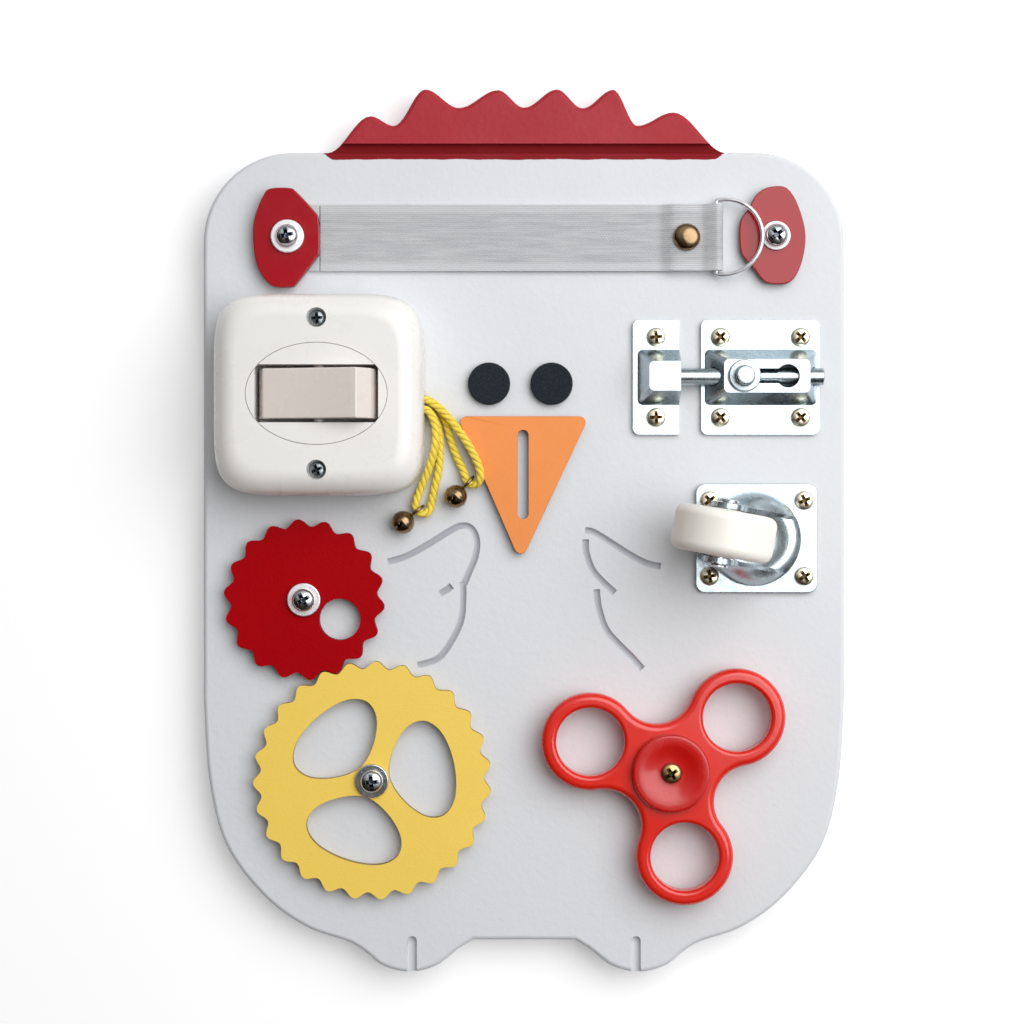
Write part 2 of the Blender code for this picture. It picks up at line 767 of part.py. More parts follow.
def make_board(screw_places):
    levels = rounded_levels(0, BOARD_THICKNESS, BOARD_EDGE_ROUND, steps=1)
    board = piece("board", slab((board_outline(), levels)), "white_paint")
    top = BOARD_LENGTH / 2 - COMB_HEIGHT
    groove_low = (BOARD_WIDTH / 2 * COMB_SHARES[-1][0] - CUT_OVERRUN, top - COMB_GROOVE_DROP)
    groove_high = (BOARD_WIDTH / 2 * COMB_SHARES[0][0] + CUT_OVERRUN, groove_low[1] + COMB_GROOVE_WIDTH)
    groove = box((*groove_low, FRONT - COMB_GROOVE_DEPTH), (*groove_high, FRONT + CUT_OVERRUN))
    reshape(board, groove, "comb_groove_cut")
    half = TOE_GROOVE_WIDTH / 2
    end_y = -BOARD_LENGTH / 2
    notch = arc((0, end_y + TOE_GROOVE_LENGTH - half), half, 0, 180, 6)
    notch += [(-half, end_y - CUT_OVERRUN), (half, end_y - CUT_OVERRUN)]
    for side, name in ((-1, "left_toe_cut"), (1, "right_toe_cut")):
        cutter = slab((notch, straight(FRONT - TOE_GROOVE_DEPTH, FRONT + CUT_OVERRUN)))
        reshape(board, moved(cutter, (side * TOE_SPACING / 2, 0, 0)), name)
    for number, shares in enumerate(WING_STROKE_SHARES, 1):
        reshape(board, wing_stroke(shares), f"wing_stroke_{number}_cut")
    pilots = [
        moved(disc(radius + RUNNING_CLEARANCE, tip - SEAT_GAP, FRONT + CUT_OVERRUN, 6), (x, y, 0))
        for x, y, radius, tip in screw_places
    ]
    reshape(board, joined(pilots), "pilot_hole_cut")


def make_eyes():
    profile = (
        (0, 0),
        (EYE_RADIUS, 0),
        (EYE_RADIUS, EYE_THICKNESS - EYE_ROUND),
        (EYE_RADIUS - EYE_ROUND, EYE_THICKNESS),
        (0, EYE_THICKNESS),
    )
    place = (EYES_MIDDLE_X - EYE_SPACING / 2, EYES_Y, FRONT + SEAT_GAP)
    left = piece("eye_left", turned(profile, 20), "black_felt", place)
    copy_of(left, "eye_right", (EYES_MIDDLE_X + EYE_SPACING / 2, EYES_Y, FRONT + SEAT_GAP))


def make_beak():
    half = BEAK_WIDTH / 2
    corners = ((-half, 0), (-BEAK_TIP_OFFSET, -BEAK_HEIGHT), (half, 0))
    slot_end = BEAK_SLOT_WIDTH / 2
    first = -BEAK_SLOT_TOP - slot_end
    last = -BEAK_SLOT_TOP - BEAK_SLOT_LENGTH + slot_end
    slot = arc((0, first), slot_end, 0, 180, 6) + arc((0, last), slot_end, 180, 360, 6)
    levels = straight(0, BEAK_THICKNESS)
    beak = slab((rounded_polygon(corners, BEAK_CORNER), levels), (slot, levels))
    piece("beak", beak, "orange_paint", (BEAK_X, BEAK_TOP_Y, FRONT + SEAT_GAP))


def strap_centreline():
    """The strap seen from its edge, from its hinge to its folded tail, with the hinge at the origin."""
    layer = STRAP_THICKNESS + SEAT_GAP
    loop = STRAP_THICKNESS / 2 + SEAT_GAP + RING_WIRE_RADIUS
    bar_x = STRAP_BAR_X - STRAP_HINGE_X
    tail_x = bar_x - STRAP_TAIL_LENGTH
    line = [
        (0, 0),
        (tail_x - STRAP_STEP, 0),
        (tail_x - STRAP_STEP / 2, layer / 2),
        (tail_x, layer),
        (bar_x - STRAP_STEP, layer),
        (bar_x - STRAP_STEP / 2, (layer + 2 * loop) / 2),
    ]
    return line + arc((bar_x, loop), loop, 90, -90, 8) + [(tail_x + SEAT_GAP, 0)]


def ribbon_outline(line, thickness):
    """The edge view of a strip of an even thickness along the line, round at its start."""
    half = thickness / 2
    points = [Vector(point) for point in line]
    upper, lower = [], []
    for i, point in enumerate(points):
        before = (point - points[i - 1]).normalized() if i else None
        after = (points[i + 1] - point).normalized() if i + 1 < len(points) else None
        first, second = before or after, after or before
        across = Vector((-first.y - second.y, first.x + second.x)) / (1 + first.dot(second))
        upper.append(point + across * half)
        lower.append(point - across * half)
    start = arc(points[0], half, 90, 270, 4)[1:-1]
    return lower + upper[::-1] + start


def make_strap():
    """The strap, its rivet and its ring. The strap lifts about the edge of its clamp."""
    hinge_height = FRONT + SEAT_GAP + STRAP_THICKNESS / 2
    hinge = (STRAP_HINGE_X, STRAP_Y, hinge_height)
    side_view = slab((ribbon_outline(strap_centreline(), STRAP_THICKNESS), straight(0, STRAP_WIDTH)))
    strap = piece("strap", moved(side_view, (0, STRAP_WIDTH / 2, 0), 90, "X"), "grey_webbing", hinge)
    rivet_x = RIVET_X - STRAP_HINGE_X
    layer_top = 1.5 * STRAP_THICKNESS + SEAT_GAP
    hole = disc(RIVET_SHANK_RADIUS + SEAT_GAP, -STRAP_THICKNESS, layer_top + CUT_OVERRUN, 16)
    reshape(strap, moved(hole, (rivet_x, 0, 0)), "rivet_hole_cut")
    head = layer_top + SEAT_GAP
    dome = [
        (RIVET_HEAD_RADIUS * math.cos(a), head + RIVET_HEAD_HEIGHT * math.sin(a))
        for a in (0, math.radians(32), math.radians(62))
    ]
    foot = -STRAP_THICKNESS / 2
    rivet = turned(
        (
            (0, foot),
            (RIVET_SHANK_RADIUS, foot),
            (RIVET_SHANK_RADIUS, head),
            *dome,
            (0, head + RIVET_HEAD_HEIGHT),
        ),
        16,
    )
    piece("strap_rivet", rivet, "antique_brass", (RIVET_X, STRAP_Y, hinge_height))
    loop = STRAP_THICKNESS / 2 + SEAT_GAP + RING_WIRE_RADIUS
    make_ring((STRAP_BAR_X, STRAP_Y, hinge_height + loop))


def make_ring(bar):
    """A D-shaped ring whose straight bar lies in the strap's fold."""
    reach = STRAP_WIDTH / 2 + SEAT_GAP + RING_WIRE_RADIUS
    line = arc((RING_CORNER, -reach + RING_CORNER), RING_CORNER, 180, 270, 2)
    line += arc((RING_ARM, 0), reach, -90, 90, 14)
    line += arc((RING_CORNER, reach - RING_CORNER), RING_CORNER, 90, 180, 2)
    points = [(x, y, 0) for x, y in line]
    made = curve_object("d_ring", points, RING_WIRE_RADIUS, 6, "nickel", closed=True)
    made.location = bar
    made.rotation_euler.y = -math.radians(RING_TILT)


def make_clamp():
    """The plate that screws the strap's end down, with that end under it."""
    tail_top = FRONT + SEAT_GAP + STRAP_THICKNESS
    plate_bottom = tail_top + SEAT_GAP
    place = (CLAMP_CENTRE_X, STRAP_Y - SEAT_GAP, plate_bottom)
    hole = circle((CLAMP_SCREW_X - CLAMP_CENTRE_X, 0), SHANK_RADIUS + RUNNING_CLEARANCE, 16)
    levels = straight(0, PLATE_THICKNESS)
    outline = shares_of(PLATE_WIDTH, PLATE_LENGTH, CLAMP_SHARES)
    piece("strap_clamp_plate", slab((outline, levels), (hole, levels)), "crimson_paint", place)
    right = STRAP_HINGE_X - STRAP_THICKNESS / 2 - SEAT_GAP
    tail = rectangle(CLAMPED_LENGTH, STRAP_WIDTH, (right - CLAMPED_LENGTH / 2, STRAP_Y))
    hole = circle((CLAMP_SCREW_X, STRAP_Y), SHANK_RADIUS + RUNNING_CLEARANCE, 16)
    levels = straight(FRONT + SEAT_GAP, tail_top)
    piece("strap_clamped_end", slab((tail, levels), (hole, levels)), "grey_webbing")
    plate_top = plate_bottom + PLATE_THICKNESS
    return stacked_screw("strap_clamp", (CLAMP_SCREW_X, STRAP_Y), plate_top, WASHER_RADIUS)


def stacked_screw(name, place, top, washer_radius):
    """A washer and a screw on a piece whose top is at the given height; gives the screw's hole."""
    bottom = top + SEAT_GAP
    washer(f"{name}_washer", place, SHANK_RADIUS + RUNNING_CLEARANCE, washer_radius, bottom)
    seat = bottom + WASHER_THICKNESS + SEAT_GAP
    screw = pan_screw(HEAD_RADIUS, HEAD_HEIGHT, SHANK_RADIUS, seat - WOOD_BEHIND_TIP)
    piece(f"{name}_screw", screw, "steel", (*place, seat))
    return [(*place, SHANK_RADIUS, WOOD_BEHIND_TIP)]


def make_turn_button():
    bottom = FRONT + SEAT_GAP
    outline = shares_of(PLATE_WIDTH, PLATE_LENGTH, TURN_BUTTON_SHARES)
    hole = circle((0, 0), SHANK_RADIUS + RUNNING_CLEARANCE, 16)
    levels = straight(0, PLATE_THICKNESS)
    place = (TURN_BUTTON_X, TURN_BUTTON_Y)
    piece("turn_button", slab((outline, levels), (hole, levels)), "crimson_paint", (*place, bottom))
    return stacked_screw("turn_button", place, bottom + PLATE_THICKNESS, TURN_BUTTON_WASHER_RADIUS)


def superellipse(width, length, squareness, steps):
    """A rounded square whose sides bow gently outwards."""
    outline = []
    for i in range(steps):
        angle = math.tau * i / steps
        x, y = math.cos(angle), math.sin(angle)
        outline.append(
            (
                math.copysign(abs(x) ** (2 / squareness) * width / 2, x),
                math.copysign(abs(y) ** (2 / squareness) * length / 2, y),
            )
        )
    return outline


def make_switch():
    """A surface switch: a base with posts, a screwed cover, and a module that holds the rocker."""
    origin = (SWITCH_X, SWITCH_Y, FRONT + SEAT_GAP)
    outside = superellipse(SWITCH_WIDTH, SWITCH_LENGTH, SWITCH_SQUARENESS, 32)
    make_switch_base(origin, outside)
    make_switch_cover(origin, outside)
    make_switch_module(origin)
    make_rocker()


def make_switch_base(origin, outside):
    inside = inset_outline(outside, SWITCH_WALL + SEAT_GAP)
    base = piece("switch_base", slab((inside, straight(0, BASE_THICKNESS))), "white_plastic", origin)
    top = SWITCH_HEIGHT - COVER_BOSS_DEPTH - SEAT_GAP
    overlap = BASE_THICKNESS / 2
    bore = COVER_SCREW_SHANK + SEAT_GAP
    reshape(base, at_both_screws(disc(POST_RADIUS, overlap, top, 14)), "posts", "UNION")
    reshape(base, at_both_screws(disc(bore, BASE_THICKNESS, top + CUT_OVERRUN, 10)), "post_bores_cut")


def at_both_screws(bm):
    """Two of the mesh, one at each of the cover's screws."""
    other = bm.copy()
    return joined([moved(bm, (0, -COVER_SCREW_OFFSET, 0)), moved(other, (0, COVER_SCREW_OFFSET, 0))])


def make_switch_cover(origin, outside):
    """A shell with a broad round shoulder, open at its back."""
    shoulder = rounded_levels(0, SWITCH_HEIGHT, SWITCH_SHOULDER, lower=False, steps=3)
    cover = piece("switch_cover", slab((outside, shoulder)), "white_plastic", origin)
    hollow_top = SWITCH_HEIGHT - SWITCH_WALL
    inner_round = SWITCH_SHOULDER - SWITCH_WALL
    hollow = rounded_levels(-CUT_OVERRUN, hollow_top, inner_round, lower=False, steps=2)
    reshape(cover, slab((inset_outline(outside, SWITCH_WALL), hollow)), "cover_hollow_cut")
    boss_bottom = SWITCH_HEIGHT - COVER_BOSS_DEPTH
    sink_floor = SWITCH_HEIGHT - COVER_SCREW_SINK
    boss_top = hollow_top + SWITCH_WALL / 4
    boss = disc(COVER_BOSS_RADIUS, boss_bottom, boss_top, 14)
    reshape(cover, at_both_screws(boss), "screw_bosses", "UNION")
    bore = COVER_SCREW_SHANK + SEAT_GAP
    well = turned(
        (
            (0, boss_bottom - CUT_OVERRUN),
            (bore, boss_bottom - CUT_OVERRUN),
            (bore, sink_floor),
            (COVER_SCREW_RECESS, sink_floor),
            (COVER_SCREW_RECESS, SWITCH_HEIGHT + CUT_OVERRUN),
            (0, SWITCH_HEIGHT + CUT_OVERRUN),
        ),
        14,
    )
    oval = superellipse(MODULE_WIDTH, MODULE_LENGTH, 2, 28)
    opening = slab((oval, straight(hollow_top - CUT_OVERRUN, SWITCH_HEIGHT + CUT_OVERRUN)))
    wall_x = SWITCH_WIDTH / 2
    notch_y = CORD_NOTCH_Y - SWITCH_Y
    low = (wall_x - SWITCH_WALL - CUT_OVERRUN, notch_y - CORD_NOTCH_WIDTH / 2, -CUT_OVERRUN)
    high = (wall_x + CUT_OVERRUN, notch_y + CORD_NOTCH_WIDTH / 2, CORD_NOTCH_HEIGHT)
    reshape(cover, joined([at_both_screws(well), opening, box(low, high)]), "cover_openings_cut")
    seat = sink_floor + SEAT_GAP
    screw = pan_screw(COVER_SCREW_HEAD, COVER_SCREW_HEAD_HEIGHT, COVER_SCREW_SHANK, COVER_SCREW_LENGTH)
    place = (origin[0], origin[1] - COVER_SCREW_OFFSET, origin[2] + seat)
    lower = piece("cover_screw_bottom", screw, "steel", place)
    copy_of(lower, "cover_screw_top", (origin[0], origin[1] + COVER_SCREW_OFFSET, origin[2] + seat))


def make_switch_module(origin):
    """The oval insert, with the pocket in which the rocker swings."""
    bottom = BASE_THICKNESS + SEAT_GAP
    body_top = SWITCH_HEIGHT - SWITCH_WALL - SEAT_GAP
    oval = superellipse(MODULE_WIDTH - 2 * SEAT_GAP, MODULE_LENGTH - 2 * SEAT_GAP, 2, 28)
    flange = slab((oval, straight(body_top - SEAT_GAP, SWITCH_HEIGHT)))
    module = piece("switch_module", flange, "white_plastic", origin)
    body = rounded_polygon(rectangle(MODULE_BODY_WIDTH, MODULE_BODY_LENGTH), MODULE_BODY_CORNER, 3)
    reshape(module, slab((body, straight(bottom, body_top))), "module_body", "UNION")
    pocket = rectangle(WINDOW_WIDTH, WINDOW_LENGTH)
    pocket_bottom = SWITCH_HEIGHT - WINDOW_DEPTH
    reshape(module, slab((pocket, straight(pocket_bottom, SWITCH_HEIGHT + CUT_OVERRUN))), "pocket_cut")
    reach = MODULE_BODY_LENGTH / 2 + CUT_OVERRUN
    bearing = moved(disc(ROCKER_PIN_RADIUS + SEAT_GAP, -reach, reach, PIN_SIDES), (0, 0, 0), 90, "X")
    pivot = SWITCH_HEIGHT - ROCKER_PIVOT_DEPTH
    reshape(module, moved(bearing, (0, 0, pivot)), "pivot_bearing_cut")


def rocker_outline():
    """The rocker seen from its side: its ends are round about the pivot, then slope in to the crests."""
    low = -math.degrees(math.asin(ROCKER_BOTTOM / ROCKER_RADIUS))
    right = arc((0, 0), ROCKER_RADIUS, low, ROCKER_END_ANGLE, 4)
    right.append((ROCKER_CREST_HALF, ROCKER_CREST))
    return right + [(0, ROCKER_CREST - ROCKER_DIP)] + [(-x, y) for x, y in reversed(right)]


def make_rocker():
    """The rocker on its pivot, with the spring and plunger that throw it to either side."""
    pivot = (SWITCH_X, SWITCH_Y, FRONT + SEAT_GAP + SWITCH_HEIGHT - ROCKER_PIVOT_DEPTH)
    axis = axis_empty("rocker_axis", pivot)
    axis.rotation_euler.y = -math.radians(ROCKER_TILT)
    block = slab((rocker_outline(), straight(-ROCKER_LENGTH / 2, ROCKER_LENGTH / 2)))
    rocker = piece("switch_rocker", moved(block, (0, 0, 0), 90, "X"), "beige_plastic", parent=axis)
    root = ROCKER_LENGTH / 2 - CUT_OVERRUN
    spans = ((-ROCKER_PIN_REACH, -root), (root, ROCKER_PIN_REACH))
    stubs = [disc(ROCKER_PIN_RADIUS, low, high, PIN_SIDES) for low, high in spans]
    reshape(rocker, moved(joined(stubs), (0, 0, 0), 90, "X"), "pivot_pins", "UNION")
    bore = disc(ROCKER_BORE_RADIUS, -ROCKER_BOTTOM - CUT_OVERRUN, ROCKER_BORE_ABOVE_PIVOT, 14)
    reshape(rocker, bore, "plunger_bore_cut")
    spring_top = ROCKER_BORE_ABOVE_PIVOT - SEAT_GAP
    spring_bottom = spring_top - SPRING_LENGTH
    spring = tube(SPRING_HOLLOW, SPRING_RADIUS, spring_bottom, spring_top, 14)
    piece("rocker_spring", spring, "steel", parent=axis)
    floor = ROCKER_PIVOT_DEPTH - WINDOW_DEPTH
    tip = floor + SEAT_GAP
    top = spring_bottom - SEAT_GAP
    plunger = turned(
        (
            (0, tip),
            (SPRING_RADIUS / 2, tip + SPRING_RADIUS / 4),
            (SPRING_RADIUS, tip + SPRING_RADIUS),
            (SPRING_RADIUS, top),
            (0, top),
        ),
        14,
    )
    piece("rocker_plunger", plunger, "grey_plastic", parent=axis)


def gear_outline(teeth, tip_angle):
    """A softly waved toothed edge: each tooth is one wave."""
    radius = GEAR_MODULE * teeth / 2 - TOOTH_RELIEF
    count = teeth * 6
    outline = []
    for i in range(count):
        angle = math.radians(tip_angle) + math.tau * i / count
        reach = radius + TOOTH_HEIGHT / 2 * math.cos(math.tau * i / 6)
        outline.append((reach * math.cos(angle), reach * math.sin(angle)))
    return outline


def turned_outline(outline, angle):
    """The outline turned about the origin by an angle in degrees."""
    spin = Matrix.Rotation(math.radians(angle), 2)
    return [spin @ Vector(point) for point in outline]


def make_gears():
    """The two meshing gears, each on a spacer, with a washer and a screw."""
    yellow_place = (YELLOW_GEAR_X, YELLOW_GEAR_Y)
    distance = GEAR_MODULE * (YELLOW_TEETH + RED_TEETH) / 2
    line = math.radians(GEAR_LINE_ANGLE)
    red_place = (YELLOW_GEAR_X + distance * math.cos(line), YELLOW_GEAR_Y + distance * math.sin(line))
    half = shares_of(2 * GEAR_WINDOW_REACH, 2 * GEAR_WINDOW_REACH, GEAR_WINDOW_SHARES)
    whole = [(x, -y) for x, y in half] + [(x, y) for x, y in reversed(half[1:-1])]
    window = smooth_line(whole, 2, closed=True)
    windows = [turned_outline(window, GEAR_WINDOW_ANGLE + THIRD_TURN * i) for i in range(3)]
    yellow = gear_outline(YELLOW_TEETH, YELLOW_TIP_ANGLE)
    holes = make_gear("yellow_gear", yellow_place, yellow, windows, "yellow_paint")
    pitch = 360 / YELLOW_TEETH
    lead = (YELLOW_TIP_ANGLE - GEAR_LINE_ANGLE) % pitch
    red_tip = GEAR_LINE_ANGLE + 180 - lead * YELLOW_TEETH / RED_TEETH + 180 / RED_TEETH
    spot = arc((0, 0), FINGER_HOLE_OFFSET, FINGER_HOLE_ANGLE, FINGER_HOLE_ANGLE, 1)[0]
    red = gear_outline(RED_TEETH, red_tip)
    return holes + make_gear("red_gear", red_place, red, [circle(spot, FINGER_HOLE_RADIUS, 20)], "red_paint")


def make_gear(name, place, outline, windows, finish):
    bore = SHANK_RADIUS + RUNNING_CLEARANCE
    spacer_bottom = FRONT + SEAT_GAP
    spacer = tube(bore, WASHER_RADIUS, 0, GEAR_SPACER_THICKNESS, 14)
    piece(f"{name}_spacer", spacer, "steel", (*place, spacer_bottom))
    bottom = spacer_bottom + GEAR_SPACER_THICKNESS + SEAT_GAP
    levels = straight(0, GEAR_THICKNESS)
    loops = [(hole, levels) for hole in [circle((0, 0), bore, PIN_SIDES)] + windows]
    piece(name, slab((outline, levels), *loops), finish, (*place, bottom))
    return stacked_screw(name, place, bottom + GEAR_THICKNESS, WASHER_RADIUS)


def pressed_plate(outline, foot, roof, rise, holes, keyhole=None):
    """A flat sheet with a hollow hat pressed up in it, open underneath.

    The foot and the roof are the hat's outer corners at the sheet and at its top.
    """
    bm = bmesh.new()
    edge = [ring(bm, outline, height) for height in (0, LATCH_SHEET)]
    wall(bm, *edge)
    through = []
    for hole in holes:
        through.append([ring(bm, hole, height) for height in (0, LATCH_SHEET)])
        wall(bm, *through[-1])
    outer = [ring(bm, foot, LATCH_SHEET), ring(bm, roof, rise)]
    inner = [
        ring(bm, inset_outline(foot, LATCH_SHEET), 0),
        ring(bm, inset_outline(roof, LATCH_SHEET), rise - LATCH_SHEET),
    ]
    wall(bm, *outer)
    wall(bm, *inner)
    slot = [ring(bm, keyhole, height) for height in (rise - LATCH_SHEET, rise)] if keyhole else []
    if slot:
        wall(bm, *slot)
    cap(bm, [edge[0], inner[0]] + [hole[0] for hole in through])
    cap(bm, [edge[1], outer[0]] + [hole[1] for hole in through])
    cap(bm, [inner[1]] + slot[:1])
    cap(bm, [outer[1]] + slot[1:])
    return bm


def keyhole_outline(slot_x, round_x):
    """A slot with a round end at its left, opening into a larger round hole at its right."""
    half = KEYHOLE_SLOT_WIDTH / 2
    meet = 180 - math.degrees(math.asin(half / KEYHOLE_ROUND_RADIUS))
    return arc((round_x, 0), KEYHOLE_ROUND_RADIUS, -meet, meet, 10) + arc((slot_x, 0), half, 90, 270, 5)


def make_latch():
    """The barrel latch: its pressed body, its bar with a knob, and its keeper."""
    bottom = FRONT + SEAT_GAP
    rod_height = LATCH_SHEET + LATCH_TOP_CLEARANCE + ROD_RADIUS
    rise = rod_height + ROD_RADIUS + LATCH_TOP_CLEARANCE + LATCH_SHEET
    screws = make_latch_body(bottom, rod_height, rise)
    screws += make_keeper(bottom, rise)
    make_latch_bar(bottom + rod_height, bottom + rise)
    return screws


def screw_at(name, place, seat, shank, model=None):
    """A small screw, made once and copied, and its hole in the board."""
    spot = (*place, seat)
    if model:
        return copy_of(model, name, spot)
    mesh = pan_screw(SMALL_HEAD_RADIUS, SMALL_HEAD_HEIGHT, shank, seat - SMALL_WOOD_BEHIND_TIP, 8)
    return piece(name, mesh, "brass", spot)


def make_latch_body(bottom, rod_height, rise):
    origin = (LATCH_PLATE_X, LATCH_Y, bottom)
    sheet = rounded_polygon(rectangle(LATCH_PLATE_WIDTH, LATCH_PLATE_LENGTH), LATCH_PLATE_CORNER, 3)
    foot = rectangle(LATCH_HAT_WIDTH, LATCH_HAT_LENGTH)
    roof = rectangle(LATCH_HAT_TOP_WIDTH, LATCH_HAT_TOP_LENGTH, (LATCH_HAT_TOP_SHIFT, 0))
    spots = rectangle(LATCH_SCREW_SPACING, LATCH_SCREW_SPACING)
    holes = [circle(spot, SMALL_SHANK_RADIUS + RUNNING_CLEARANCE, 8) for spot in spots]
    slot_x = KNOB_X - LATCH_PLATE_X
    keyhole = keyhole_outline(slot_x, slot_x + LATCH_TRAVEL)
    body = pressed_plate(sheet, foot, roof, rise, holes, keyhole)
    latch = piece("latch_body", body, "nickel", origin)
    reach = LATCH_PLATE_WIDTH / 2 + CUT_OVERRUN
    passage = moved(disc(ROD_RADIUS + SEAT_GAP, -reach, reach, 16), (0, 0, rod_height), 90, "Y")
    reshape(latch, passage, "rod_passage_cut")
    seat = bottom + LATCH_SHEET + SEAT_GAP
    places = [(LATCH_PLATE_X + x, LATCH_Y + y) for x, y in spots]
    first = screw_at("latch_screw_1", places[0], seat, SMALL_SHANK_RADIUS)
    for number, place in enumerate(places[1:], 2):
        screw_at(f"latch_screw_{number}", place, seat, SMALL_SHANK_RADIUS, first)
    return [(*place, SMALL_SHANK_RADIUS, SMALL_WOOD_BEHIND_TIP) for place in places]


def make_keeper(bottom, rise):
    """The staple that takes the end of the bar: a short hat, closed at its left, open at its right."""
    origin = (KEEPER_X, LATCH_Y, bottom)
    left = KEEPER_HAT_LEFT_X - KEEPER_X
    top_left = KEEPER_HAT_TOP_LEFT_X - KEEPER_X
    right = KEEPER_WIDTH / 2
    far = right + KEEPER_WIDTH / 2
    beyond = far + CUT_OVERRUN
    foot = rectangle(far - left, LATCH_HAT_LENGTH, ((far + left) / 2, 0))
    roof_right = far - LATCH_SHEET
    roof = rectangle(roof_right - top_left, KEEPER_HAT_TOP_LENGTH, ((roof_right + top_left) / 2, 0))
    corners = [(-right, -LATCH_PLATE_LENGTH / 2), (beyond, -LATCH_PLATE_LENGTH / 2)]
    corners += [(beyond, LATCH_PLATE_LENGTH / 2), (-right, LATCH_PLATE_LENGTH / 2)]
    sheet = rounded_polygon(corners, LATCH_PLATE_CORNER, 3)
    spots = [(0, -LATCH_SCREW_SPACING / 2), (0, LATCH_SCREW_SPACING / 2)]
    holes = [circle(spot, SMALL_SHANK_RADIUS + RUNNING_CLEARANCE, 8) for spot in spots]
    keeper = piece("latch_keeper", pressed_plate(sheet, foot, roof, rise, holes), "nickel", origin)
    low = (right, -LATCH_PLATE_LENGTH / 2 - CUT_OVERRUN, -CUT_OVERRUN)
    high = (beyond + CUT_OVERRUN, LATCH_PLATE_LENGTH / 2 + CUT_OVERRUN, rise + CUT_OVERRUN)
    reshape(keeper, box(low, high), "open_end_cut")
    seat = bottom + LATCH_SHEET + SEAT_GAP
    places = [(KEEPER_X + x, LATCH_Y + y) for x, y in spots]
    first = screw_at("keeper_screw_1", places[0], seat, SMALL_SHANK_RADIUS)
    screw_at("keeper_screw_2", places[1], seat, SMALL_SHANK_RADIUS, first)
    return [(*place, SMALL_SHANK_RADIUS, SMALL_WOOD_BEHIND_TIP) for place in places]


def make_latch_bar(rod_z, top_z):
    """The sliding bar, with the knob that stands in its cross hole."""
    axis = axis_empty("latch_slide_axis", (KNOB_X, LATCH_Y, rod_z))
    left = ROD_LEFT_X - KNOB_X
    right = ROD_RIGHT_X - KNOB_X
    rod = turned(
        (
            (0, left),
            (ROD_RADIUS - ROD_CHAMFER, left),
            (ROD_RADIUS, left + ROD_CHAMFER),
            (ROD_RADIUS, right - ROD_CHAMFER),
            (ROD_RADIUS - ROD_CHAMFER, right),
            (0, right),
        ),
        16,
    )
    bar = piece("latch_bar", moved(rod, (0, 0, 0), 90, "Y"), "nickel", parent=axis)
    floor = ROD_RADIUS - KNOB_STEM_DEPTH
    cross = disc(KNOB_STEM_RADIUS + SEAT_GAP, floor - SEAT_GAP, ROD_RADIUS + CUT_OVERRUN, PIN_SIDES)
    reshape(bar, cross, "cross_hole_cut")
    neck = ROD_RADIUS + SEAT_GAP
    disc_bottom = top_z - rod_z + LATCH_TOP_CLEARANCE
    disc_top = disc_bottom + KNOB_DISC_THICKNESS
    button_top = disc_top + KNOB_BUTTON_HEIGHT
    edge = KNOB_DISC_THICKNESS / 4
    knob = turned(
        (
            (0, floor),
            (KNOB_STEM_RADIUS, floor),
            (KNOB_STEM_RADIUS, neck),
            (KNOB_NECK_RADIUS, neck),
            (KNOB_NECK_RADIUS, disc_bottom),
            (KNOB_DISC_RADIUS - edge, disc_bottom),
            (KNOB_DISC_RADIUS, disc_bottom + edge),
            (KNOB_DISC_RADIUS, disc_top - edge),
            (KNOB_DISC_RADIUS - edge, disc_top),
            (KNOB_BUTTON_RADIUS, disc_top),
            (KNOB_BUTTON_RADIUS - edge, button_top - edge),
            (KNOB_BUTTON_RADIUS / 2, button_top),
            (0, button_top),
        ),
        14,
    )
    piece("latch_knob", knob, "nickel", parent=axis)


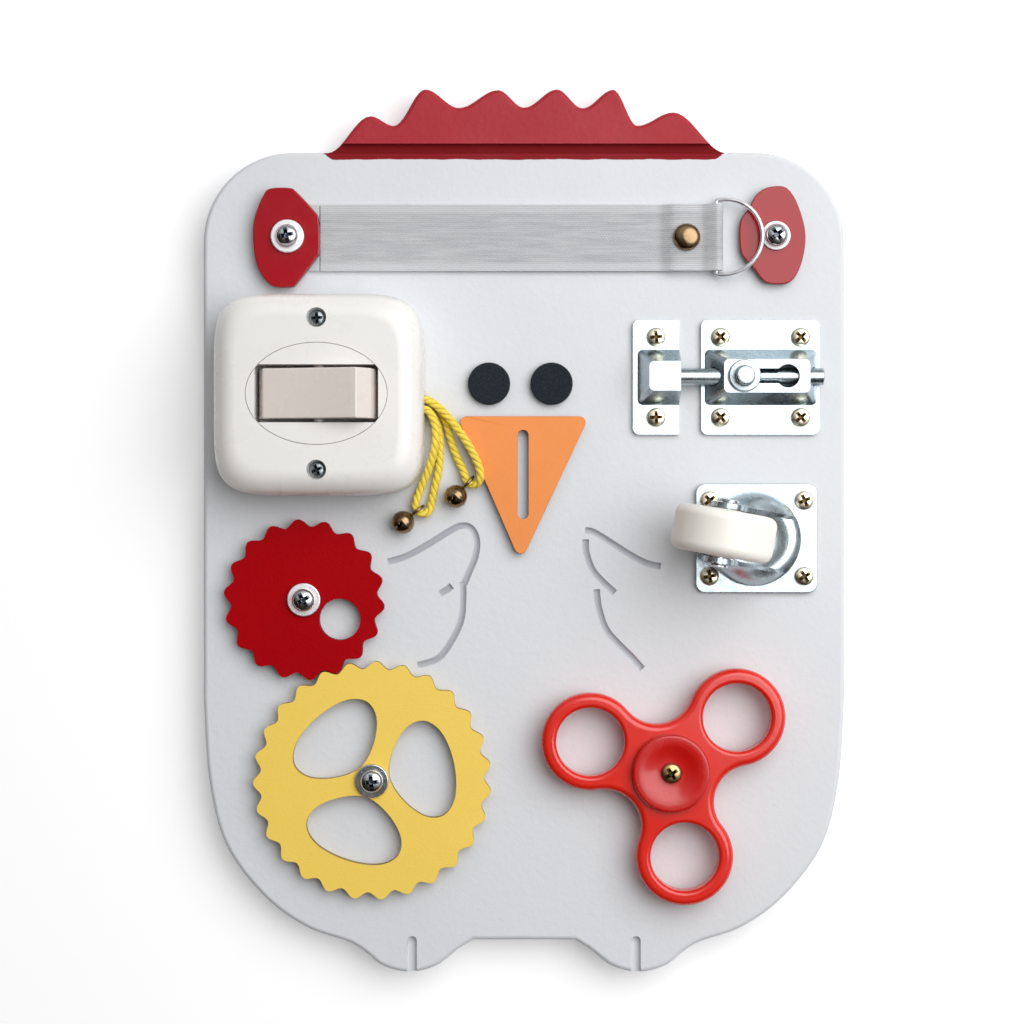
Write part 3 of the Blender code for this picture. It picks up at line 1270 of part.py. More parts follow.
def make_caster():
    """The caster: its plate, its swivelling fork on a kingpin, its axle and its wheel."""
    bottom = FRONT + SEAT_GAP
    outline = rounded_polygon(rectangle(CASTER_PLATE_WIDTH, CASTER_PLATE_LENGTH), CASTER_PLATE_CORNER, 3)
    spots = rectangle(CASTER_SCREW_SPACING_X, CASTER_SCREW_SPACING_Y)
    levels = straight(0, CASTER_PLATE_THICKNESS)
    holes = [(circle(spot, SMALL_SHANK_RADIUS + RUNNING_CLEARANCE, 8), levels) for spot in spots]
    pin_spot = (SWIVEL_X - CASTER_PLATE_X, SWIVEL_Y - CASTER_PLATE_Y)
    holes.append((circle(pin_spot, KINGPIN_RADIUS + SEAT_GAP, 16), levels))
    origin = (CASTER_PLATE_X, CASTER_PLATE_Y, bottom)
    piece("caster_plate", slab((outline, levels), *holes), "nickel", origin)
    plate_top = bottom + CASTER_PLATE_THICKNESS
    places = [(CASTER_PLATE_X + x, CASTER_PLATE_Y + y) for x, y in spots]
    first = screw_at("caster_screw_1", places[0], plate_top + SEAT_GAP, SMALL_SHANK_RADIUS)
    for number, place in enumerate(places[1:], 2):
        screw_at(f"caster_screw_{number}", place, plate_top + SEAT_GAP, SMALL_SHANK_RADIUS, first)
    crown_bottom = plate_top + SEAT_GAP
    dish_top = crown_bottom + FORK_SHEET
    pin_top = dish_top + SEAT_GAP
    pin = turned(
        (
            (0, 0),
            (KINGPIN_RADIUS, 0),
            (KINGPIN_RADIUS, pin_top - bottom),
            (KINGPIN_HEAD_RADIUS, pin_top - bottom),
            (KINGPIN_HEAD_RADIUS, pin_top - bottom + KINGPIN_HEAD_HEIGHT / 2),
            (KINGPIN_RADIUS, pin_top - bottom + KINGPIN_HEAD_HEIGHT),
            (0, pin_top - bottom + KINGPIN_HEAD_HEIGHT),
        ),
        14,
    )
    piece("caster_kingpin", pin, "steel", (SWIVEL_X, SWIVEL_Y, bottom))
    swivel = axis_empty("caster_swivel_axis", (SWIVEL_X, SWIVEL_Y, 0), CASTER_DIRECTION)
    ridge_top = dish_top + CROWN_RIDGE
    axle_height = ridge_top + WHEEL_CLEARANCE + WHEEL_RADIUS
    make_fork(swivel, crown_bottom, dish_top, ridge_top, axle_height)
    make_wheel(swivel, axle_height)
    return [(*place, SMALL_SHANK_RADIUS, SMALL_WOOD_BEHIND_TIP) for place in places]


def fork_leg(side, low, axle_height):
    """One leg, lofted from an arc of the crown up to a flat strip with a round end at the axle."""
    arc_radius = CROWN_RADIUS - FORK_SHEET / 2
    strip_y = FORK_GAP / 2 + FORK_SHEET / 2
    bend_top = axle_height - FORK_END_RADIUS
    levels = [(low + (bend_top - low) * i / 4, i / 4, 1.0) for i in range(5)]
    for angle in (math.radians(degrees) for degrees in (0, 38, 72)):
        levels.append((axle_height + FORK_END_RADIUS * math.sin(angle), 1.0, math.cos(angle)))
    bm = bmesh.new()
    rings = []
    for height, climb, width_share in levels:
        blend = climb * climb * (3 - 2 * climb)
        faces = []
        for offset in (-FORK_SHEET / 2, FORK_SHEET / 2):
            row = []
            for i in range(5):
                angle = math.radians(FORK_ARC_START + (180 - 2 * FORK_ARC_START) * i / 4)
                on_arc = Vector((math.cos(angle), math.sin(angle))) * (arc_radius + offset)
                across = FORK_END_RADIUS * width_share * (1 - i / 2)
                on_strip = Vector((CASTER_TRAIL + across, strip_y + offset))
                place = on_arc.lerp(on_strip, blend)
                row.append((place.x, side * place.y))
            faces.append(row)
        rings.append(ring(bm, faces[0] + faces[1][::-1], height))
    for lower, upper in zip(rings, rings[1:]):
        wall(bm, lower, upper)
    cap(bm, rings[:1])
    cap(bm, rings[-1:])
    return bm


def make_fork(swivel, low, dish_top, ridge_top, axle_height):
    rim = CROWN_RADIUS - FORK_SHEET
    under_ridge = ridge_top - FORK_SHEET
    slope = CROWN_DISH_RADIUS + FORK_SHEET
    crown = turned(
        (
            (KINGPIN_RADIUS + SEAT_GAP, low),
            (CROWN_DISH_RADIUS + SEAT_GAP, low),
            (slope + SEAT_GAP, under_ridge),
            (rim, under_ridge),
            (rim, low + SEAT_GAP),
            (CROWN_RADIUS, low + SEAT_GAP),
            (CROWN_RADIUS, ridge_top - FORK_SHEET / 2),
            (CROWN_RADIUS - FORK_SHEET / 2, ridge_top),
            (slope, ridge_top),
            (CROWN_DISH_RADIUS, dish_top),
            (KINGPIN_RADIUS + SEAT_GAP, dish_top),
        ),
        20,
    )
    fork = piece("caster_fork", crown, "nickel", parent=swivel)
    leg_bottom = low + FORK_SHEET
    for side, name in ((-1, "right_leg"), (1, "left_leg")):
        reshape(fork, fork_leg(side, leg_bottom, axle_height), name, "UNION")
    reach = FORK_GAP / 2 + FORK_SHEET + CUT_OVERRUN
    hole = moved(disc(AXLE_RADIUS + SEAT_GAP, -reach, reach, PIN_SIDES), (0, 0, 0), 90, "X")
    reshape(fork, moved(hole, (CASTER_TRAIL, 0, axle_height)), "axle_hole_cut")


def make_wheel(swivel, axle_height):
    """The wheel and its riveted axle, turned about the axle's line."""
    place = (CASTER_TRAIL, 0, axle_height)
    seat = FORK_GAP / 2 + FORK_SHEET + SEAT_GAP
    end = seat + AXLE_HEAD_HEIGHT
    half_axle = [(AXLE_RADIUS, seat), (AXLE_HEAD_RADIUS, seat)]
    half_axle += [(AXLE_HEAD_RADIUS, end - AXLE_HEAD_HEIGHT / 3), (AXLE_RADIUS, end), (0, end)]
    axle = [(radius, -height) for radius, height in reversed(half_axle)] + half_axle
    piece("caster_axle", moved(turned(axle, PIN_SIDES), (0, 0, 0), 90, "X"), "steel", place, swivel)
    bore = AXLE_RADIUS + SEAT_GAP
    hub = FORK_GAP / 2 - SEAT_GAP
    half = WHEEL_WIDTH / 2
    face = half - WHEEL_FACE_SINK
    inner_rim = WHEEL_RADIUS - WHEEL_SHOULDER - WHEEL_RIM
    shoulder_centre = (WHEEL_RADIUS - WHEEL_SHOULDER, half - WHEEL_SHOULDER)
    shoulder = arc(shoulder_centre, WHEEL_SHOULDER, 90, 0, 2)
    side = [(bore, hub), (WHEEL_HUB_RADIUS, hub), (WHEEL_HUB_RADIUS, face), (inner_rim, face)]
    side += [(inner_rim + WHEEL_FACE_SINK, half)] + shoulder
    profile = side + [(radius, -height) for radius, height in reversed(side)]
    piece("caster_wheel", moved(turned(profile, 20), (0, 0, 0), 90, "X"), "ivory_nylon", place, swivel)


def spinner_outline():
    """Three round lobes, joined by hollows that are tangent to them."""
    hollow_radius = tangent_hollow()
    lobe = Vector((LOBE_DISTANCE, 0))
    hollow = Matrix.Rotation(math.radians(60), 2) @ Vector((WAIST_RADIUS + hollow_radius, 0))
    towards = math.degrees(math.atan2(hollow.y, hollow.x - lobe.x))
    inside = arc(lobe, LOBE_RADIUS, -towards, towards, 14)
    back = towards - HALF_TURN
    sweep = 2 * (back + THIRD_TURN)
    hollows = arc(hollow, hollow_radius, back, back - sweep, 6)[1:-1]
    return [point for i in range(3) for point in turned_outline(inside + hollows, THIRD_TURN * i)]


def tangent_hollow():
    """Radius of the hollow whose circle touches two neighbouring lobes and passes the waist."""
    d, r, w = LOBE_DISTANCE, LOBE_RADIUS, WAIST_RADIUS
    return (d * d + w * w - d * w - r * r) / (2 * r - 2 * w + d)


def make_spinner():
    """The three-lobed spinner on its ball bearing, under a fixed cap."""
    spacer_bottom = FRONT + SEAT_GAP
    bottom = spacer_bottom + SPACER_HEIGHT + SEAT_GAP
    place = (SPINNER_X, SPINNER_Y)
    axis = axis_empty("spinner_axis", (*place, bottom), SPINNER_ANGLE)
    bore = BEARING_OUTER_RADIUS + SEAT_GAP
    rim = rounded_levels(0, SPINNER_THICKNESS, SPINNER_ROUND, steps=1)
    hole_rim = rounded_levels(0, SPINNER_THICKNESS, SPINNER_HOLE_ROUND, steps=1, sign=-1)
    spots = turned_outlines((LOBE_DISTANCE, 0))
    loops = [(circle(spot, LOBE_HOLE_RADIUS, 18), hole_rim) for spot in spots]
    loops.append((circle((0, 0), bore, 24), straight(0, SPINNER_THICKNESS)))
    piece("spinner_body", slab((spinner_outline(), rim), *loops), "red_plastic", parent=axis)
    race_inside = BEARING_OUTER_RADIUS - BEARING_RACE
    outer = tube(race_inside, BEARING_OUTER_RADIUS, 0, SPINNER_THICKNESS, 24)
    piece("bearing_outer_ring", outer, "steel", parent=axis)
    inner_outside = BEARING_BORE_RADIUS + BEARING_RACE
    inner = tube(BEARING_BORE_RADIUS, inner_outside, 0, SPINNER_THICKNESS, 16)
    piece("bearing_inner_ring", inner, "steel", (*place, bottom))
    make_ball_cage(axis, inner_outside, race_inside)
    spacer = tube(SHANK_RADIUS + RUNNING_CLEARANCE, SPACER_RADIUS, 0, SPACER_HEIGHT, 14)
    piece("spinner_spacer", spacer, "steel", (*place, spacer_bottom))
    return make_spinner_cap(place, bottom + SPINNER_THICKNESS + SEAT_GAP, inner_outside)


def turned_outlines(spot):
    return [turned_outline([spot], THIRD_TURN * i)[0] for i in range(3)]


def make_ball_cage(axis, inner, outer):
    """The balls with their cage, as a ring that swells at each ball."""
    middle = (inner + outer) / 2
    slim = (outer - inner) / 2 - SEAT_GAP - CAGE_WAVE
    inside, outside = [], []
    count = BALL_COUNT * 4
    for i in range(count):
        angle = math.tau * i / count
        half = slim + CAGE_WAVE * math.cos(math.tau * i / 4)
        inside.append(((middle - half) * math.cos(angle), (middle - half) * math.sin(angle)))
        outside.append(((middle + half) * math.cos(angle), (middle + half) * math.sin(angle)))
    low = (SPINNER_THICKNESS - (outer - inner)) / 2
    levels = straight(low, SPINNER_THICKNESS - low)
    piece("bearing_ball_cage", slab((outside, levels), (inside, levels)), "steel", parent=axis)


def make_spinner_cap(place, bottom, stem_radius):
    """The dished cap that bears on the inner ring, and the screw through it."""
    bore = SHANK_RADIUS + RUNNING_CLEARANCE
    under = SEAT_GAP
    dish = CAP_THICKNESS - CAP_DISH_DEPTH
    recess = SPINNER_SCREW_HEAD + RUNNING_CLEARANCE
    recess_floor = dish / 2
    cap_piece = turned(
        (
            (bore, 0),
            (stem_radius, 0),
            (stem_radius, under),
            (CAP_RADIUS, under),
            (CAP_RADIUS, CAP_THICKNESS - CAP_ROUND),
            (CAP_RADIUS - CAP_ROUND, CAP_THICKNESS),
            (CAP_DISH_RADIUS + CAP_ROUND, CAP_THICKNESS),
            (CAP_DISH_RADIUS, dish),
            (recess, dish),
            (recess, recess_floor),
            (bore, recess_floor),
        ),
        20,
    )
    piece("spinner_cap", cap_piece, "dark_red_plastic", (*place, bottom))
    seat = bottom + recess_floor + SEAT_GAP
    screw = pan_screw(SPINNER_SCREW_HEAD, CAP_THICKNESS - recess_floor, SHANK_RADIUS, seat - WOOD_BEHIND_TIP)
    piece("spinner_screw", screw, "brass", (*place, seat))
    return [(*place, SHANK_RADIUS, WOOD_BEHIND_TIP)]


def make_cord(name, route):
    points = smooth_line([Vector(point) * MM for point in route], 2)
    curve_object(name, points, CORD_RADIUS, 8, "yellow_cord")


def make_bell(name, eyelet, angle):
    """A hollow jingle bell that hangs by a wire eyelet round the cord, its origin in the eyelet."""
    drop = EYELET_RADIUS + BELL_RADIUS
    inside = BELL_RADIUS - BELL_WALL
    outer_end = math.degrees(math.acos(BELL_MOUTH_RADIUS / BELL_RADIUS))
    inner_end = math.degrees(math.acos(BELL_MOUTH_RADIUS / inside))
    outer = arc((0, 0), BELL_RADIUS, -outer_end, 90, 5)
    inner = arc((0, 0), inside, 90, -inner_end, 3)
    outer[-1], inner[0] = (0, BELL_RADIUS), (0, inside)
    bm = bmesh.new()
    shell = shell_of(bm, inner, outer)
    bell = piece(name, moved(shell, (-drop, 0, 0), 90, "Y"), "antique_brass", eyelet)
    tilt = math.asin((FRONT + SEAT_GAP + BELL_RADIUS - eyelet[2]) / drop)
    bell.rotation_euler = (0, tilt, math.radians(angle + 180))
    ring_profile = circle((EYELET_RADIUS + EYELET_WIRE / 2, 0), EYELET_WIRE, 5)
    eye = moved(turned(ring_profile, PIN_SIDES), (0, 0, 0), 90, "X")
    reshape(bell, eye, f"{name}_eyelet", "UNION")
    slot = box(
        (-drop - BELL_RADIUS - CUT_OVERRUN, -BELL_SLOT_WIDTH / 2, -BELL_RADIUS - CUT_OVERRUN),
        (-drop - BELL_WALL, BELL_SLOT_WIDTH / 2, BELL_RADIUS + CUT_OVERRUN),
    )
    reshape(bell, slot, f"{name}_slot_cut")


def shell_of(bm, inner, outer):
    """A turned shell whose inner and outer walls both close on the axis and meet at its mouth."""
    for profile in (outer, inner):
        points = [bm.verts.new((radius, 0, height)) for radius, height in profile]
        lines = [bm.edges.new(pair) for pair in zip(points, points[1:])]
        bmesh.ops.spin(
            bm, geom=points + lines, axis=(0, 0, 1), cent=(0, 0, 0), steps=12, angle=math.tau, use_merge=True
        )
    bmesh.ops.remove_doubles(bm, verts=bm.verts, dist=WELD_DISTANCE)
    mouth = [edge for edge in bm.edges if edge.is_boundary]
    bmesh.ops.bridge_loops(bm, edges=mouth)
    return bm


def main():
    clear_scene()
    screw_places = make_clamp() + make_turn_button() + make_gears() + make_latch()
    screw_places += make_caster() + make_spinner()
    make_board(screw_places)
    make_eyes()
    make_beak()
    make_strap()
    make_switch()
    make_cord("cord_loop_left", CORD_LEFT_ROUTE)
    make_cord("cord_loop_right", CORD_RIGHT_ROUTE)
    make_bell("bell_left", BELL_LEFT_EYELET, BELL_LEFT_ANGLE)
    make_bell("bell_right", BELL_RIGHT_EYELET, BELL_RIGHT_ANGLE)


main()
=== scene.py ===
import contextlib
import math

import bmesh
import bpy
from mathutils import Matrix, Vector


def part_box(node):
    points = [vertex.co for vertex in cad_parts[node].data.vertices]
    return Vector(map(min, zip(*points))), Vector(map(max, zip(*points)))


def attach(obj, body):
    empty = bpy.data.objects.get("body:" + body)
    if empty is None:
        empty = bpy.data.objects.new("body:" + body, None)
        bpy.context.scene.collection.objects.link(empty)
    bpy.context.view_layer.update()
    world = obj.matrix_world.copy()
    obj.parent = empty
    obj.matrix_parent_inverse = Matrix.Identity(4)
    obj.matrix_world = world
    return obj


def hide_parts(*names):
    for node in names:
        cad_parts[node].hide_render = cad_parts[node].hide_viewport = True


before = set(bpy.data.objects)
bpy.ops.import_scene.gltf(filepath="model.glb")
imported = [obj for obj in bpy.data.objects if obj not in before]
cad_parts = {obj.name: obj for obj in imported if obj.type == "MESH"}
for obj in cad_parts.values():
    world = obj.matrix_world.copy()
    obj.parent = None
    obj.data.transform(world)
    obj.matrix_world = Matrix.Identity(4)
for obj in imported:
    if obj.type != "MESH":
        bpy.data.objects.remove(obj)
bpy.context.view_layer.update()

# Sizes are in millimetres, and become metres where they go into a mesh or a material
MM = 0.001

# Heights and fits that many pieces share
FRONT = 12.0
GAP = 0.3
OVERRUN = 1.0
SCREW_BORE = 2.1
ALONG_X = (0, math.pi / 2, 0)
ALONG_Y = (math.pi / 2, 0, 0)

# The two cords' routes, each from the switch, through its bell and back
CORD_RADIUS = 1.3
CORD_PITCH = 7.5
CORD_SIDES = 24
CORD_LEFT_ROUTE = (
    (-32.7, 38.1, 16.6), (-30.6, 37.6, 16.6), (-28.7, 35.8, 16.6), (-27.4, 31.8, 16.6), (-27.6, 26.4, 16.5),
    (-29.4, 19.8, 15.1), (-32.2, 13.2, 13.8), (-33.4, 9.8, 14.4), (-33.75, 7.8, 14.9), (-33.2, 6.2, 15.2),
    (-31.9, 5.35, 15.2), (-30.4, 5.5, 14.9), (-29.3, 6.6, 14.5), (-28.8, 8.6, 14.1), (-27.9, 13.0, 13.7),
    (-26.5, 19.6, 13.7), (-26.2, 27.0, 13.7), (-27.0, 32.8, 13.7), (-29.2, 36.6, 13.7), (-32.7, 38.1, 13.7),
)
CORD_RIGHT_ROUTE = (
    (-32.7, 41.0, 16.6), (-30.6, 40.7, 16.6), (-28.3, 39.6, 16.6), (-25.2, 37.0, 16.6),
    (-21.6, 32.9, 16.8), (-18.1, 27.9, 16.9), (-15.3, 22.9, 16.9), (-13.9, 19.4, 16.9),
    (-13.6, 16.8, 16.8), (-14.25, 14.98, 16.0), (-15.8, 14.3, 15.4), (-17.4, 14.9, 15.2),
    (-18.2, 16.5, 14.9), (-19.0, 18.9, 14.3), (-20.6, 22.3, 13.8), (-22.4, 27.0, 13.7),
    (-23.9, 32.6, 13.7), (-25.8, 36.9, 13.7), (-28.8, 40.0, 13.7), (-32.7, 41.0, 13.7),
)


# Lines and outlines

def arc(centre, radius, start, end, steps):
    """Points on an arc between two angles in degrees, both ends included; two radii make it oval."""
    across, up = radius if isinstance(radius, tuple) else (radius, radius)
    angles = [math.radians(start + (end - start) * i / steps) for i in range(steps + 1)]
    return [(centre[0] + across * math.cos(a), centre[1] + up * math.sin(a)) for a in angles]


def circle(centre, radius, steps=48):
    return arc(centre, radius, 0, 360, steps)[:-1]


def rectangle(width, length, centre=(0, 0)):
    x, y = width / 2, length / 2
    return [(centre[0] + a * x, centre[1] + b * y) for a, b in ((-1, -1), (1, -1), (1, 1), (-1, 1))]


def rounded_polygon(corners, radius, steps=8):
    """The polygon, which runs anticlockwise, with each corner rounded by an arc."""
    outline = []
    count = len(corners)
    for i in range(count):
        before, here, after = (Vector(corners[j % count]) for j in (i - 1, i, i + 1))
        inwards = (before - here).normalized()
        outwards = (after - here).normalized()
        half = inwards.angle(outwards) / 2
        middle = (inwards + outwards).normalized()
        spread = 90 - math.degrees(half)
        facing = math.degrees(math.atan2(-middle.y, -middle.x))
        centre = here + middle * radius / math.sin(half)
        outline += arc(centre, radius, facing - spread, facing + spread, steps)
    return outline


def smooth_line(points, steps, closed=False):
    """Points along one smooth curve through the given points."""
    given = [Vector(point) for point in points]
    count = len(given)
    line = []
    for i in range(count if closed else count - 1):
        here, after = given[i], given[(i + 1) % count]
        before = given[i - 1] if closed or i else here
        beyond = given[(i + 2) % count] if closed or i + 2 < count else after
        for step in range(steps):
            t = step / steps
            swing = (after - before) * t + (2 * before - 5 * here + 4 * after - beyond) * t**2
            line.append((2 * here + swing + (3 * here - before - 3 * after + beyond) * t**3) / 2)
    return line if closed else line + [given[-1]]


def superellipse(width, length, squareness, steps=96):
    """A rounded square whose sides bow gently outwards."""
    def bowed(share, size):
        return math.copysign(abs(share) ** (2 / squareness) * size / 2, share)
    angles = [math.tau * i / steps for i in range(steps)]
    return [(bowed(math.cos(a), width), bowed(math.sin(a), length)) for a in angles]


def turned_outline(outline, angle):
    spin = Matrix.Rotation(math.radians(angle), 2)
    return [spin @ Vector(point) for point in outline]


def shifted(outline, place):
    return [(x + place[0], y + place[1]) for x, y in outline]


def sized(shares, width, length):
    """Points given as shares of a half width and a half length, in real sizes."""
    return [(x * width / 2, y * length / 2) for x, y in shares]


def mirrored(profile):
    """A profile of (radius, height) with its mirror image below it."""
    return [(radius, -height) for radius, height in reversed(profile)] + profile


def span(node):
    """Where a solid of the part lies: its middle (x, y), its bottom and its top."""
    low, high = ([size / MM for size in corner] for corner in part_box(node))
    return ((low[0] + high[0]) / 2, (low[1] + high[1]) / 2), low[2], high[2]


# Modelling

def metres(*sizes):
    return tuple(size * MM for size in sizes)


def free():
    if bpy.context.mode != "OBJECT":
        bpy.ops.object.mode_set(mode="OBJECT")
    bpy.ops.object.select_all(action="DESELECT")


def take(piece):
    """Selects one piece alone and makes it active."""
    free()
    piece.select_set(True)
    bpy.context.view_layer.objects.active = piece
    return piece


@contextlib.contextmanager
def editing(piece):
    take(piece)
    bpy.ops.object.mode_set(mode="EDIT")
    bpy.ops.mesh.select_all(action="SELECT")
    yield
    bpy.ops.object.mode_set(mode="OBJECT")


def pick(piece, kind, test):
    """In edit mode, selects the edges or faces that pass the test, and no others."""
    bpy.ops.mesh.select_all(action="DESELECT")
    bpy.ops.mesh.select_mode(type={"edges": "EDGE", "faces": "FACE"}[kind])
    mesh = bmesh.from_edit_mesh(piece.data)
    for element in getattr(mesh, kind):
        if test(element):
            element.select_set(True)
    bmesh.update_edit_mesh(piece.data)


def close_up():
    """In edit mode, merges doubles and turns all faces outwards."""
    bpy.ops.mesh.select_mode(type="VERT")
    bpy.ops.mesh.select_all(action="SELECT")
    bpy.ops.mesh.remove_doubles(threshold=0.0001 * MM)
    bpy.ops.mesh.normals_make_consistent(inside=False)


def settled(name="cutter"):
    """The shape that was just added, with its place, turn and size put into its mesh."""
    bpy.ops.object.transform_apply(location=True, rotation=True, scale=True)
    piece = bpy.context.active_object
    piece.name = name
    return piece


def new_ring(name, count, filled):
    free()
    bpy.ops.mesh.primitive_circle_add(vertices=count, fill_type="NGON" if filled else "NOTHING")
    return settled(name)


def lofted(name, levels):
    """A solid that starts as a filled ring on the first outline and is extruded to each next one."""
    outline, height = levels[0]
    piece = new_ring(name, len(outline), True)
    for vertex, (x, y) in zip(piece.data.vertices, outline):
        vertex.co = metres(x, y, height)
    with editing(piece):
        bpy.ops.mesh.select_mode(type="VERT")
        bpy.ops.mesh.select_all(action="SELECT")
        for number, (outline, height) in enumerate(levels[1:], 1):
            bpy.ops.mesh.extrude_region_move()
            mesh = bmesh.from_edit_mesh(piece.data)
            mesh.verts.ensure_lookup_table()
            for i, (x, y) in enumerate(outline):
                mesh.verts[number * len(outline) + i].co = metres(x, y, height)
            bmesh.update_edit_mesh(piece.data)
        close_up()
    return piece


def prism(outline, bottom, top, name="cutter"):
    return lofted(name, [(outline, bottom), (outline, top)])


def turned(name, profile, steps=48):
    """A profile of (radius, height) spun about Z: closed on itself, or on the axis at both ends."""
    piece = new_ring(name, len(profile), False)
    for vertex, (radius, height) in zip(piece.data.vertices, profile):
        vertex.co = metres(radius, 0, height)
    with editing(piece):
        if profile[0][0] == 0:
            pick(piece, "edges", lambda edge: all(end.co.x == 0 for end in edge.verts))
            bpy.ops.mesh.delete(type="EDGE")
        bpy.ops.mesh.select_all(action="SELECT")
        bpy.ops.mesh.spin(steps=steps, angle=math.tau, center=(0, 0, 0), axis=(0, 0, 1))
        close_up()
    return piece


def block(low, high):
    """A plain block, for cutting with."""
    free()
    low, high = Vector(metres(*low)), Vector(metres(*high))
    bpy.ops.mesh.primitive_cube_add(size=1, location=(low + high) / 2, scale=high - low)
    return settled()


def bar(radius, depth, place, turn=(0, 0, 0), vertices=48):
    """A plain round bar, for cutting with or joining on."""
    free()
    bpy.ops.mesh.primitive_cylinder_add(
        vertices=vertices, radius=radius * MM, depth=depth * MM, location=metres(*place), rotation=turn,
    )
    return settled()


def ball(radius, place, segments, rings):
    free()
    bpy.ops.mesh.primitive_uv_sphere_add(
        segments=segments, ring_count=rings, radius=radius * MM, location=metres(*place),
    )
    return settled()


def applied(piece, kind, settings):
    take(piece)
    modifier = piece.modifiers.new(kind.title(), kind)
    for name, value in settings.items():
        setattr(modifier, name, value)
    bpy.ops.object.modifier_apply(modifier=modifier.name)
    return piece


def together(pieces):
    take(pieces[0])
    for piece in pieces:
        piece.select_set(True)
    if len(pieces) > 1:
        bpy.ops.object.join()
    return pieces[0]


def combined(piece, others, operation="DIFFERENCE"):
    """Cuts the other shapes from the piece, or joins them on; they don't touch each other."""
    other = together(others)
    applied(piece, "BOOLEAN", {"operation": operation, "solver": "EXACT", "object": other})
    bpy.data.objects.remove(other, do_unlink=True)
    return piece


def rounded(piece, width, segments=2, angle=40):
    """Rounds the sharp edges."""
    limits = {"limit_method": "ANGLE", "angle_limit": math.radians(angle)}
    return applied(piece, "BEVEL", {"width": width * MM, "segments": segments, **limits})


def plate(name, outline, bottom, top, holes=(), edge=0.3, segments=2):
    """A flat piece with holes right through it and its edges rounded."""
    piece = prism(outline, bottom, top, name)
    if holes:
        combined(piece, [prism(hole, bottom - OVERRUN, top + OVERRUN) for hole in holes])
    return rounded(piece, edge, segments) if edge else piece


def moved(piece, offset=(0, 0, 0), turn=0.0, axis="Z"):
    """The piece's mesh turned about an axis through the origin by an angle in degrees, then moved."""
    spin = Matrix.Rotation(math.radians(turn), 4, axis)
    piece.data.transform(Matrix.Translation(Vector(metres(*offset))) @ spin)
    return piece


def wire(name, points, radius, closed=False, sides=3):
    """A round wire along the points, made a mesh."""
    curve = bpy.data.curves.new(name, "CURVE")
    curve.dimensions = "3D"
    curve.bevel_depth = radius * MM
    curve.bevel_resolution = sides
    curve.use_fill_caps = not closed
    spline = curve.splines.new("POLY")
    spline.points.add(len(points) - 1)
    spline.use_cyclic_u = closed
    for target, point in zip(spline.points, points):
        target.co = (*metres(*point), 1)
    made = bpy.data.objects.new(name, curve)
    bpy.context.scene.collection.objects.link(made)
    take(made)
    bpy.ops.object.convert(target="MESH")
    with editing(made):
        close_up()
    return made


def fitted(piece, body, material, *nodes, slot=None, smooth=35):
    """Smooths the piece, gives it its material, and puts it in its place in the frame."""
    take(piece)
    bpy.ops.object.shade_smooth_by_angle(angle=math.radians(smooth))
    applied(piece, "WEIGHTED_NORMAL", {"keep_sharp": True})
    piece.data.materials.clear()
    piece.data.materials.append(material)
    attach(piece, body)
    if nodes:
        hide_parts(*nodes)
    return piece


# Shader values and shared effects

def screen(red, green, blue):
    """Screen values from 0 to 255 as the linear colour that a shader takes."""
    line = [value / 255 for value in (red, green, blue)]
    return tuple(c / 12.92 if c <= 0.04045 else ((c + 0.055) / 1.055) ** 2.4 for c in line) + (1.0,)


def feed(socket, value):
    """Links a value to a socket, or sets a plain number or colour on it."""
    if isinstance(value, Value):
        value.tree.links.new(value.socket, socket)
    else:
        socket.default_value = value


def new_node(tree, kind, feeds=None, **settings):
    """A shader node with its settings, and its inputs linked or set."""
    node = tree.nodes.new("ShaderNode" + kind)
    for name, value in settings.items():
        setattr(node, name, value)
    for name, value in (feeds or {}).items():
        feed(node.inputs[name], value)
    return node


class Value:
    """A number, colour or place that changes over a surface, with arithmetic as for plain numbers."""

    def __init__(self, socket):
        self.socket = socket
        self.tree = socket.id_data

    def made(self, kind, feeds, output=0, **settings):
        return Value(new_node(self.tree, kind, feeds, **settings).outputs[output])

    def step(self, operation, *others):
        """One step of arithmetic."""
        return self.made("Math", dict(enumerate((self, *others))), operation=operation)

    def __add__(self, other):
        return self.step("ADD", other)

    def __sub__(self, other):
        return self.step("SUBTRACT", other)

    def __mul__(self, other):
        return self.step("MULTIPLY", other)

    def __abs__(self):
        return self.step("ABSOLUTE")

    def ramp(self, low, high, out_low=0.0, out_high=1.0):
        """The value taken smoothly from one range to another."""
        feeds = {"Value": self, "From Min": low, "From Max": high, "To Min": out_low, "To Max": out_high}
        return self.made("MapRange", feeds, "Result", interpolation_type="SMOOTHSTEP")

    def blend(self, first, second):
        """A colour between two: the first at 0, the second at 1."""
        return self.made("Mix", {0: self, 6: first, 7: second}, 2, data_type="RGBA")

    def noise(self, scale, detail=3.0, roughness=0.55):
        """A noise pattern, for a place."""
        feeds = {"Vector": self, "Scale": scale, "Detail": detail, "Roughness": roughness}
        return self.made("TexNoise", feeds, "Fac")

    def stretched(self, scales):
        return self.made("VectorMath", {0: self, 1: scales}, operation="MULTIPLY")

    def xyz(self):
        return [Value(socket) for socket in new_node(self.tree, "SeparateXYZ", {0: self}).outputs]


def tone_drift(given):
    """Makes a colour a little lighter and darker, in broad patches and in fine ones."""
    broad = given["Vector"].noise(given["Scale"])
    fine = given["Vector"].noise(given["Scale"] * 14.0, 2.0)
    shade = (broad * 1.4 + fine * 0.6 - 1.0) * given["Amount"] + 1.0
    return shade.made("HueSaturation", {"Value": shade, "Color": given["Color"]}, "Color")


def fine_relief(given):
    """Brush marks, orange peel or hammering: a stretched pattern of heights."""
    place = given["Vector"].stretched(given["Stretch"])
    return place.noise(given["Scale"], 2.0) * 0.7 + place.noise(given["Scale"] * 4.3, 3.0, 0.65) * 0.3


